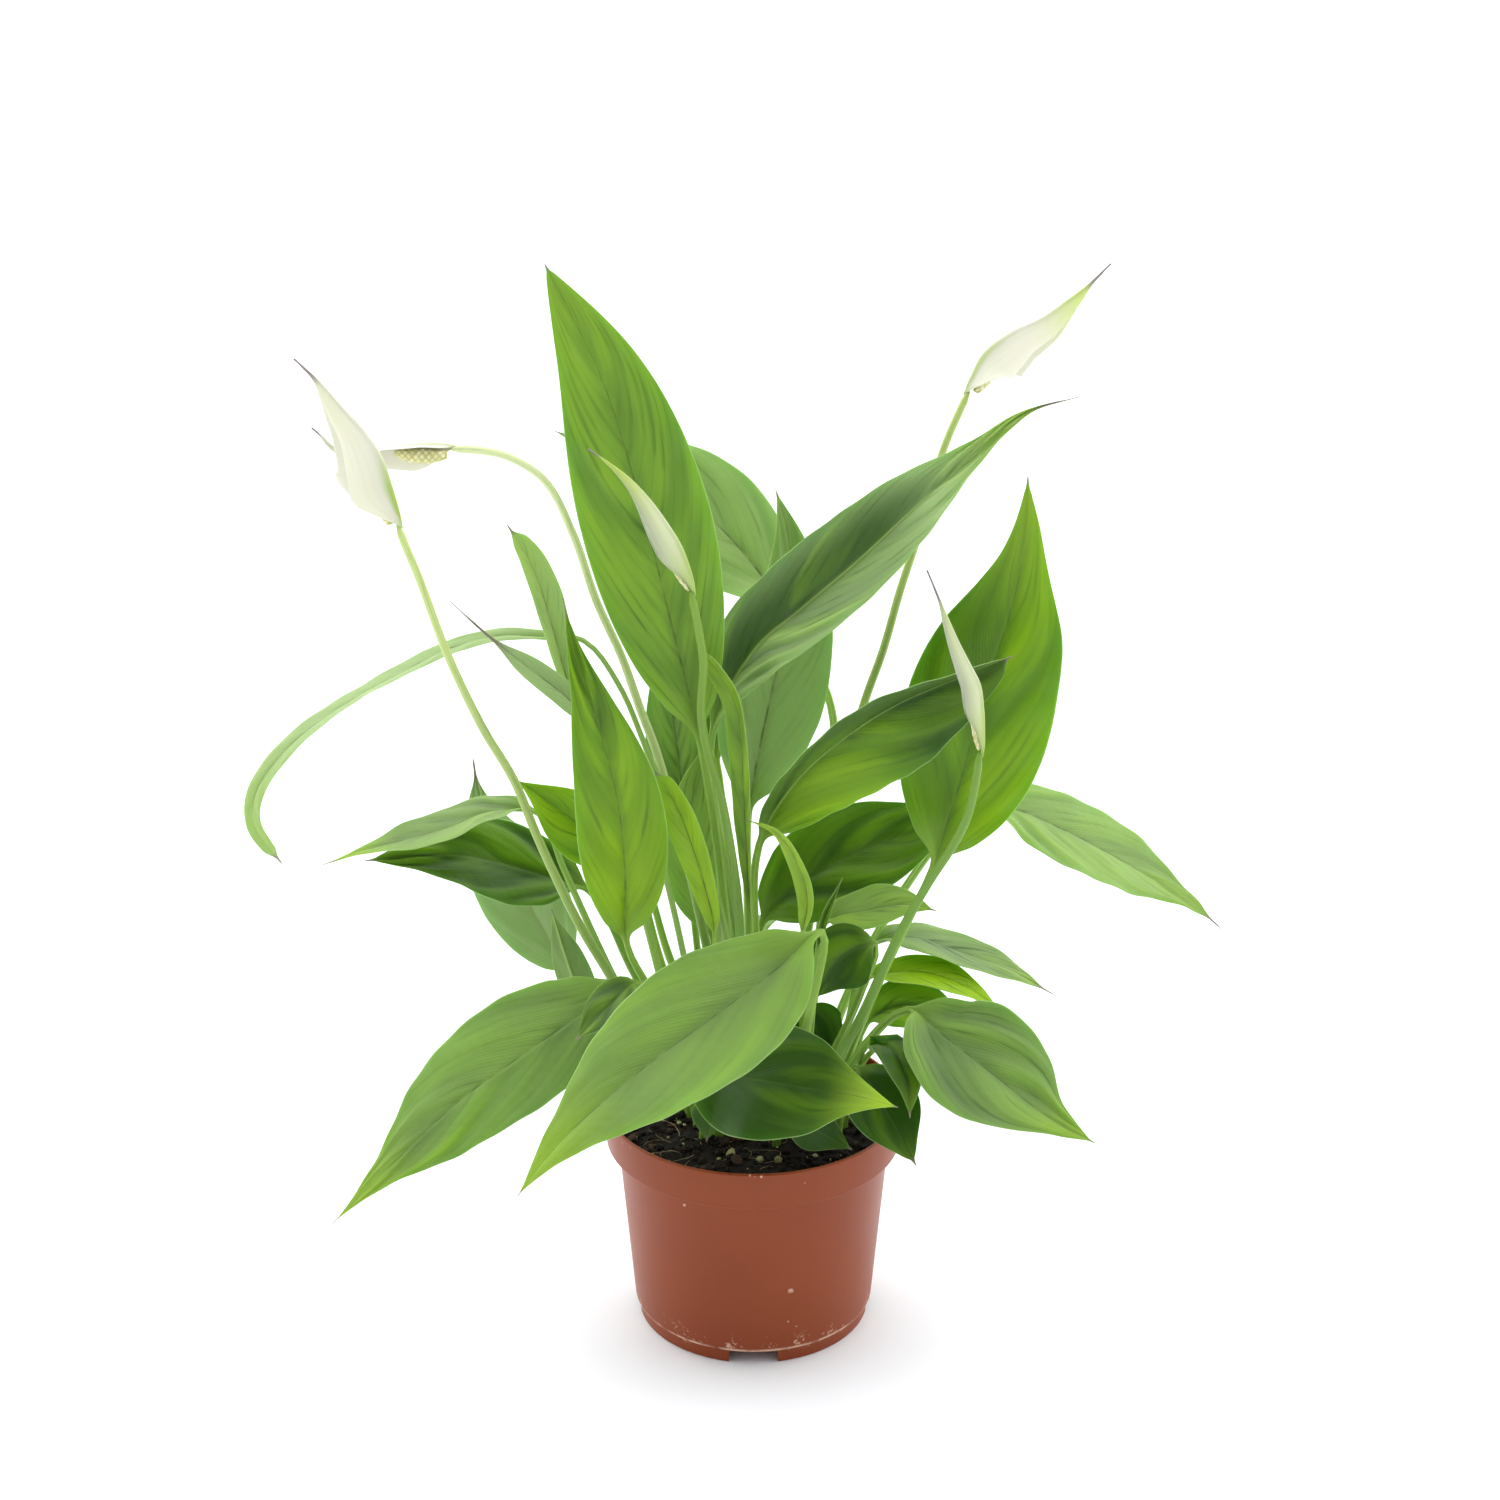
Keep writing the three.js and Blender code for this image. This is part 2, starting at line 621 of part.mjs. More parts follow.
// ---------------------------------------------------------------- flowers
const stalkFoot = 2;
const stalkTop = 1.5;
const openSpathe = { widest: 0.25, swell: 0.6, tail: 0 }; // the outline of one that has opened
const spatheStations = [0, 0.06, 0.14, 0.24, 0.35, 0.47, 0.6, 0.73, 0.86, 1];
const spatheSetback = 1.3; // how far behind the stalk's middle a spathe starts
const spatheArch = 0.05;

function flowerLine(flower) {
  const line = growthLine(flower.root, flower.stem, flower.spathe);
  const top = line.reached(1 + flower.stem.length);
  const face = vector(flower.face).normalize();
  const spatheFold = (t) => THREE.MathUtils.degToRad(lerp(petioleFold, flower.fold, smooth(t, 0, 0.25)));
  const setback = (t) => spatheSetback * (1 - smooth(t, 0, 0.4));
  const length = line.length - top - clearance;
  const frameAt = (t) => turned(line.at(top + clearance + t * length), face);
  return { line, top, face, length, spatheFold, setback, frameAt };
}

function stalkGeometry(flower) {
  const { line, top, face } = flowerLine(flower);
  return skin(stemRings(line, top, face, stalkFoot, stalkTop));
}

function spatheGeometry(flower) {
  const { frameAt, spatheFold, setback } = flowerLine(flower);
  const rings = spatheStations.map((t) => {
    const frame = frameAt(t);
    frame.place.addScaledVector(frame.up, -setback(t));
    const share = Math.max(outline(t, { ...openSpathe, ...flower }), flower.claw - 2 * t);
    const half = Math.max(0.5, (flower.width / 2) * share);
    return bladeRing(frame, half, spatheFold(t), spatheArch, [0, 0], 0.3 * (1 - t));
  });
  return skin(rings);
}

// A spadix lies along the fold of its spathe: a club with rows of small florets.
const spadixSides = 8;
const spadixRings = 15;
const floretRise = 0.35;

function spadixGeometry(flower) {
  const { frameAt, length, spatheFold, setback } = flowerLine(flower);
  const { long, radius } = flower.spadix;
  const place = [];
  const index = [];
  const middle = (ring) => {
    const t = (long * ring) / (spadixRings - 1) / length + 0.1 / length;
    const girth = radius * Math.pow(Math.sin(Math.PI * lerp(0.13, 0.93, ring / (spadixRings - 1))), 0.6);
    const clear = (girth + floretRise + bladeThickness / 2 + clearance) / Math.cos(spatheFold(t));
    const frame = frameAt(t);
    return { frame, girth, rise: clear - setback(t) };
  };
  for (let k = 0; k < spadixRings; k++) {
    const { frame, girth, rise } = middle(k);
    for (let j = 0; j < spadixSides; j++) {
      const angle = (2 * Math.PI * (j + (k % 2) / 2)) / spadixSides;
      const reach = girth + (k > 0 && k < spadixRings - 1 ? floretRise * ((j + k) % 2) : 0);
      const p = frame.place.clone().addScaledVector(frame.side, reach * Math.cos(angle));
      p.addScaledVector(frame.up, rise + reach * Math.sin(angle));
      place.push(p.x, p.y, p.z);
    }
  }
  const at = (k, j) => k * spadixSides + (j % spadixSides);
  for (let k = 0; k + 1 < spadixRings; k++) {
    for (let j = 0; j < spadixSides; j++) {
      index.push(at(k, j), at(k + 1, j + 1), at(k, j + 1), at(k, j), at(k + 1, j), at(k + 1, j + 1));
    }
  }
  for (let j = 1; j + 1 < spadixSides; j++) {
    index.push(at(0, 0), at(0, j), at(0, j + 1));
    index.push(at(spadixRings - 1, 0), at(spadixRings - 1, j + 1), at(spadixRings - 1, j));
  }
  const made = new THREE.BufferGeometry();
  made.setAttribute("position", new THREE.Float32BufferAttribute(place, 3));
  made.setIndex(index);
  made.computeVertexNormals();
  return made;
}

// ---------------------------------------------------------------- pot and soil
const collarFoot = potHeight - collarHeight;
const potFloor = footHeight + wall;

// The pot's inner wall: the radius at a height.
function innerRadius(z) {
  if (z < collarFoot) return lerp(bodyFootRadius, bodyTopRadius, z / collarFoot) - wall;
  const widen = smooth(z, collarFoot, collarFoot + collarEase);
  const taper = (innerTaper * (z - collarFoot)) / collarHeight;
  return lerp(bodyTopRadius - wall, rimRadius - wall - innerTaper, widen) + taper;
}

const lathe = (profile, sides) =>
  new THREE.LatheGeometry(profile.map(([r, z]) => new THREE.Vector2(r, z)), sides).rotateX(Math.PI / 2);

function potGeometry() {
  const profile = [
    [0, footHeight],
    [footRadius - footWall, footHeight],
    [footRadius - footWall, 0],
    [footRadius, 0],
    [footRadius + 0.4, footHeight],
    [bodyFootRadius, footHeight + 1],
    [bodyTopRadius, collarFoot],
    [rimRadius - collarTaper, collarFoot + 0.6],
    [rimRadius, potHeight - 0.6],
    [rimRadius - 0.5, potHeight],
    [rimRadius - wall, potHeight],
    [innerRadius(collarFoot + collarEase), collarFoot + collarEase],
    [innerRadius(collarFoot), collarFoot],
    [innerRadius(potFloor), potFloor],
    [0, potFloor],
  ];
  return lathe(profile, potSides);
}

// The soil fills the pot to just under its rim, with an uneven top.
function soilGeometry() {
  const floor = potFloor + clearance;
  const fit = clearance + 0.25; // its corners clear the middles of the pot's flat sides
  const profile = [
    [0, floor],
    [innerRadius(floor) - fit, floor],
    [innerRadius(collarFoot) - fit, collarFoot],
    [innerRadius(collarFoot + collarEase) - fit, collarFoot + collarEase],
    [innerRadius(soilTop) - fit, soilTop - soilEdge],
    ...soilRings.map((radius) => [radius, soilTop]),
  ];
  const made = lathe(profile, soilSides);
  const places = made.attributes.position;
  for (let i = 0; i < places.count; i++) {
    if (places.getZ(i) < soilTop - 0.1) continue;
    const [x, y] = [places.getX(i), places.getY(i)];
    const bump = Math.sin(0.19 * x + 1.3) * Math.cos(0.23 * y) + 0.5 * Math.sin(0.41 * x - 0.37 * y);
    places.setZ(i, soilTop + (soilBump / 1.5) * bump);
  }
  return made;
}

// ---------------------------------------------------------------- cutting
function solid(geometry) {
  const bare = geometry.clone();
  bare.deleteAttribute("normal");
  bare.deleteAttribute("uv");
  const merged = mergeVertices(bare, 1e-4);
  return new wasm.Manifold(
    new wasm.Mesh({
      numProp: 3,
      vertProperties: merged.attributes.position.array,
      triVerts: new Uint32Array(merged.index.array),
    }),
  );
}

function geometryOf(cut) {
  const mesh = cut.getMesh();
  const made = new THREE.BufferGeometry();
  made.setAttribute("position", new THREE.BufferAttribute(mesh.vertProperties, 3));
  made.setIndex(new THREE.BufferAttribute(mesh.triVerts, 1));
  made.computeVertexNormals();
  return made;
}

function post(radius, height, sides, x, y, z) {
  return new THREE.CylinderGeometry(radius, radius, height, sides).rotateX(Math.PI / 2).translate(x, y, z);
}

function cutPot() {
  let pot = solid(potGeometry());
  for (let i = 0; i < notchCount; i++) {
    const block = new THREE.BoxGeometry(notchWidth, 2 * rimRadius, 2 * footHeight);
    block.translate(0, -1.6 * rimRadius, 0).rotateZ((i * 2 * Math.PI) / notchCount);
    pot = pot.subtract(solid(block));
  }
  for (let i = 0; i < drainHoles; i++) {
    const angle = (2 * Math.PI * (i + 0.5)) / drainHoles;
    const x = drainCircle * Math.cos(angle);
    const y = drainCircle * Math.sin(angle);
    pot = pot.subtract(solid(post(drainRadius, 8, 12, x, y, footHeight)));
  }
  return geometryOf(pot);
}

function cutSoil() {
  let soil = solid(soilGeometry());
  const fits = 1 / Math.cos(Math.PI / holeSides);
  const holes = [
    ...Object.values(leaves).map((leaf) => [leaf.root, stemRadii(leaf).foot]),
    ...Object.values(flowers).map((flower) => [flower.root, stalkFoot]),
  ];
  const floor = soilTop - rootDepth - holeRelief;
  const height = potHeight - floor;
  for (const [[x, y], radius] of holes) {
    const hole = post((radius + clearance) * fits, height, holeSides, x, y, floor + height / 2);
    soil = soil.subtract(solid(hole));
  }
  return geometryOf(soil);
}

// ---------------------------------------------------------------- the whole plant
const plant = new THREE.Group();

function add(name, geometry, material) {
  const mesh = new THREE.Mesh(geometry, material);
  mesh.name = name;
  plant.add(mesh);
}

add("pot", cutPot(), materials.pot);
add("soil", cutSoil(), materials.soil);
Object.entries(leaves).forEach(([name, leaf], i) => {
  add(`leaf_${name}`, leafGeometry(leaf, i), materials.leaf);
});
for (const [name, flower] of Object.entries(flowers)) {
  add(`stalk_${name}`, stalkGeometry(flower), materials.stalk);
  add(`spathe_${name}`, spatheGeometry(flower), materials.spathe);
  add(`spadix_${name}`, spadixGeometry(flower), materials.spadix);
}

export default plant;
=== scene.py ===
# A potted peace lily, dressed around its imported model: leaves and flowers fine enough
# for their veins, waves and florets, a bed of potting soil and a worn nursery pot.
# Shapes are worked out in millimetres, +Z up, and made in metres.
import math

import bmesh
import bpy
import numpy as np
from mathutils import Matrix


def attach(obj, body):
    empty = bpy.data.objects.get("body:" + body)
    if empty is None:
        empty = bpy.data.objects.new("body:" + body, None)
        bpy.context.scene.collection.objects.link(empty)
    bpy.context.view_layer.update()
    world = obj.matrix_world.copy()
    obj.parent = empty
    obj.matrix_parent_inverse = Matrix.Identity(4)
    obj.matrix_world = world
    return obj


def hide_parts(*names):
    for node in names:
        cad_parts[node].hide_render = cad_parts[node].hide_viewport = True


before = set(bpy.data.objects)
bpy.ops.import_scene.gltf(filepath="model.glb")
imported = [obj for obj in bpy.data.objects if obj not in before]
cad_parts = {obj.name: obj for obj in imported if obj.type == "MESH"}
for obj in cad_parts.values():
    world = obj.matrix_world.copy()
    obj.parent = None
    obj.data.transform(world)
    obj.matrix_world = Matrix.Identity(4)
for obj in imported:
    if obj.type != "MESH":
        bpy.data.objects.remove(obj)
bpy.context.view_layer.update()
print("frame: the packed plant is loaded")

mm = 0.001


def linear(hexColour):  # an sRGB hex colour as linear RGBA
    channels = [int(hexColour[i:i + 2], 16) / 255 for i in (1, 3, 5)]
    return [c / 12.92 if c <= 0.04045 else ((c + 0.055) / 1.055) ** 2.4 for c in channels] + [1]


def nodeAdder(tree):
    # Gives add, which adds a node to this tree. Its feeds are values, hex colours or sockets for
    # the inputs, by name or in order, and how is its main setting. It returns the node's first
    # output in use, or the one that gives names.
    mainSettings = {
        "Math": "operation", "VectorMath": "operation", "MapRange": "interpolation_type",
        "Mix": "data_type", "Attribute": "attribute_name",
    }
    tree.nodes.clear()

    def add(kind, feeds=(), how=None, gives=None, **settings):
        node = tree.nodes.new("ShaderNode" + kind)
        for name, value in {**({mainSettings[kind]: how} if how else {}), **settings}.items():
            setattr(node, name, value)
        if isinstance(feeds, dict):
            pairs = [(node.inputs[name], value) for name, value in feeds.items()]
        else:
            pairs = zip([socket for socket in node.inputs if socket.enabled], feeds)
        for socket, value in pairs:
            if isinstance(value, bpy.types.NodeSocket):
                tree.links.new(value, socket)
            else:
                socket.default_value = linear(value) if isinstance(value, str) else value
        outputs = [socket for socket in node.outputs if socket.enabled]
        return node.outputs[gives] if gives else outputs[0] if outputs else None

    return add


def newMaterial(name):
    made = bpy.data.materials.new(name)
    made.use_nodes = True
    return made, nodeAdder(made.node_tree)


def addPiece(name, places, faces, material, nodes, smooth=True):
    # Places in millimetres. The piece rides on the plant and stands for the CAD nodes.
    mesh = bpy.data.meshes.new(name)
    mesh.from_pydata((np.asarray(places) * mm).tolist(), [], faces)
    mesh.polygons.foreach_set("use_smooth", [smooth] * len(mesh.polygons))
    mesh.materials.append(material)
    piece = bpy.data.objects.new(name, mesh)
    bpy.context.scene.collection.objects.link(piece)
    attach(piece, "root")
    for node in nodes:
        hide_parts(node)
    return piece


def paint(piece, **attributes):  # one number for each point, for the material to read
    for name, values in attributes.items():
        layer = piece.data.attributes.new(name, "FLOAT", "POINT")
        layer.data.foreach_set("value", np.asarray(values, dtype=np.float32).ravel())


def smooth(x, low, high):
    share = np.clip((np.asarray(x, dtype=float) - low) / (high - low), 0, 1)
    return share * share * (3 - 2 * share)


def mix(a, b, share):
    return a + (b - a) * share


# how the plant stands: the same sizes as in its CAD source, in millimetres
plantMake = {
    "soilTop": 87,
    "rootDepth": 24,
    "standingTop": 89,
    "clearance": 0.3,
    "petioleFold": 50,
}
eyePoint = np.array([-1.4, -1062.5, 685.6])  # where the camera stands


def seen(point):
    # A place as seen from the eye point: across and up on the upright plane through
    # the pot's axis, then how far behind that plane it really is.
    onPlane = np.array([point[0], 0, point[1]])
    return eyePoint + (onPlane - eyePoint) * (point[2] - eyePoint[1]) / -eyePoint[1]


def traceLine(points, steps=24):
    # A centripetal Catmull-Rom line through the points, with distances along it.
    p = np.array(points, dtype=float)
    ends = np.vstack([2 * p[0] - p[1], p, 2 * p[-1] - p[-2]])
    places = [p[0]]
    for a, b, c, d in zip(ends, ends[1:], ends[2:], ends[3:]):
        before, span, after = (math.sqrt(np.linalg.norm(q)) for q in (b - a, c - b, d - c))
        leave = ((b - a) / before - (c - a) / (before + span) + (c - b) / span) * span
        arrive = ((c - b) / span - (d - b) / (span + after) + (d - c) / after) * span
        for k in range(1, steps + 1):
            w = k / steps
            bend = (3 * (c - b) - 2 * leave - arrive) * w ** 2
            bend = bend + (2 * (b - c) + leave + arrive) * w ** 3
            places.append(b + leave * w + bend)
    places = np.array(places)
    reached = np.concatenate([[0], np.cumsum(np.linalg.norm(np.diff(places, axis=0), axis=1))])
    headings = np.gradient(places, reached, axis=0)
    return {"places": places, "headings": headings, "reached": reached, "knots": reached[::steps]}


def growthLine(root, stem, blade):
    # The line of a leaf or flower: upright in the soil, then along its stem and blade.
    foot = [root[0], root[1], plantMake["soilTop"] - plantMake["rootDepth"]]
    start = [root[0], root[1], plantMake["standingTop"]]
    line = traceLine([foot, start] + [seen(p) for p in stem] + [seen(p) for p in blade])
    return {**line, "ground": line["knots"][1], "neck": line["knots"][2 + len(stem)]}


def along(line, distances):
    places, heads = (
        np.stack([np.interp(distances, line["reached"], part[:, i]) for i in range(3)], 1)
        for part in (line["places"], line["headings"])
    )
    return places, heads / np.linalg.norm(heads, axis=1, keepdims=True)


def framesFacing(line, distances, facings):  # place, across and outward directions of each row
    places, heads = along(line, distances)
    ups = facings - heads * np.sum(facings * heads, axis=1, keepdims=True)
    ups /= np.linalg.norm(ups, axis=1, keepdims=True)
    return places, np.cross(heads, ups), ups


def framesStanding(line, distances, facing):
    # The same for a stem, turned as little as can be, after two upright rows in the soil.
    places, heads = along(line, distances)
    held, ups = facing, []
    for head in heads[::-1]:
        held = held - head * np.dot(held, head)
        held = held / np.linalg.norm(held)
        ups.append(held)
    ups = np.array(ups[::-1])
    soilPlaces = line["places"][0] * np.ones((2, 1))
    soilPlaces[1, 2] = plantMake["standingTop"]
    upright = ups[0] * np.array([1, 1, 0])
    upright /= np.linalg.norm(upright)
    across = np.cross([0, 0, 1], upright)
    sides = np.vstack([across, across, np.cross(heads, ups)])
    return np.vstack([soilPlaces, places]), sides, np.vstack([upright, upright, ups])


def outline(t, form):
    # How wide a blade is at t along it: a wedge at the stem, drawn out to a fine tip.
    # A lower swell makes it fuller at both ends, and tail takes a share off near the tip.
    widest, swell = form["widest"], form["swell"]
    rise = (t / widest) ** swell
    fall = (np.clip(1 - t, 0, 1) / (1 - widest)) ** (swell * (1 - widest) / widest)
    return rise * fall * (1 - form["tail"] * smooth(t, 0.6, 0.85))


def ringFaces(rows, sides, first=0, downwards=False):
    # The faces between rings of points that go up, or down, from the point numbered first.
    faces = []
    for a in range(first, first + (rows - 1) * sides, sides):
        b = a + sides
        for j in range(sides):
            n = (j + 1) % sides
            second, fourth = (b + j, a + n) if downwards else (a + n, b + j)
            faces.append((a + j, second, b + n, fourth))
    return faces


def skinFaces(rows, columns):
    # Closes rows of points into one skin: each row is its upper points and then its
    # lower points, from the left margin to the right.
    at = lambda k, side, j: (k * 2 + side) * columns + j
    faces = []
    for k in range(rows - 1):
        for j in range(columns - 1):
            faces.append((at(k, 0, j), at(k, 0, j + 1), at(k + 1, 0, j + 1), at(k + 1, 0, j)))
            faces.append((at(k, 1, j), at(k + 1, 1, j), at(k + 1, 1, j + 1), at(k, 1, j + 1)))
        last = columns - 1
        faces.append((at(k, 1, 0), at(k, 0, 0), at(k + 1, 0, 0), at(k + 1, 1, 0)))
        faces.append((at(k, 0, last), at(k, 1, last), at(k + 1, 1, last), at(k + 1, 0, last)))
    end = rows - 1
    for j in range(columns - 1):
        faces.append((at(0, 0, j), at(0, 1, j), at(0, 1, j + 1), at(0, 0, j + 1)))
        faces.append((at(end, 0, j), at(end, 0, j + 1), at(end, 1, j + 1), at(end, 1, j)))
    return faces


def columnShares(half):
    # Where the columns stand, from -1 to 1: closer at the midrib and at the margins.
    right = [0.035, 0.09] + list(np.linspace(0.16, 0.93, half - 4)) + [0.975, 1]
    return np.array([-v for v in right[::-1]] + [0] + right)


def roundSection(v, radius, groove=0.0):
    # Points round a stem for each row, as wide and high offsets, upper ones first.
    angle = math.pi * (0.5 - 0.4 * v)
    hollow = 1 - groove * np.exp(-(v / 0.3) ** 2)
    wide = radius[:, None, None] * np.cos(angle)[None, None, :] * np.array([1, 1])[None, :, None]
    high = radius[:, None, None] * np.sin(angle)[None, None, :] * np.array([1, -1])[None, :, None]
    high[:, 0] *= hollow
    return wide, high


def bladeSection(v, half, fold, arch, relief, thick, rib):
    # Points across a blade for each row: a V fold with arched halves, the relief on
    # both faces, and a midrib that stands out underneath.
    crease = 0.03
    size = np.sqrt(v ** 2 + crease ** 2) - crease
    wide = half[:, None] * v * np.cos(fold)[:, None]
    high = half[:, None] * (size * np.sin(fold)[:, None] - arch * v ** 2) + relief
    lean = v / np.sqrt(v ** 2 + crease ** 2)
    slope = np.arctan2(lean * np.sin(fold)[:, None] - 2 * arch * v, np.cos(fold)[:, None])
    ribShape = rib[:, None] * np.exp(-(wide / (0.7 * rib[:, None] + 0.2)) ** 2)
    upper = thick - 0.25 * ribShape
    lower = -thick - ribShape
    wides = np.stack([wide - np.sin(slope) * upper, wide - np.sin(slope) * lower], 1)
    highs = np.stack([high + np.cos(slope) * upper, high + np.cos(slope) * lower], 1)
    return wides, highs


def placed(frames, wides, highs):
    places, sides, ups = (part.reshape(len(part), 1, 1, 3) for part in frames)
    return places + wides[..., None] * sides + highs[..., None] * ups


def pieceName(node):  # leaf_tall_left becomes leafTallLeft
    first, *rest = node.split("_")
    return first + "".join(word.capitalize() for word in rest)


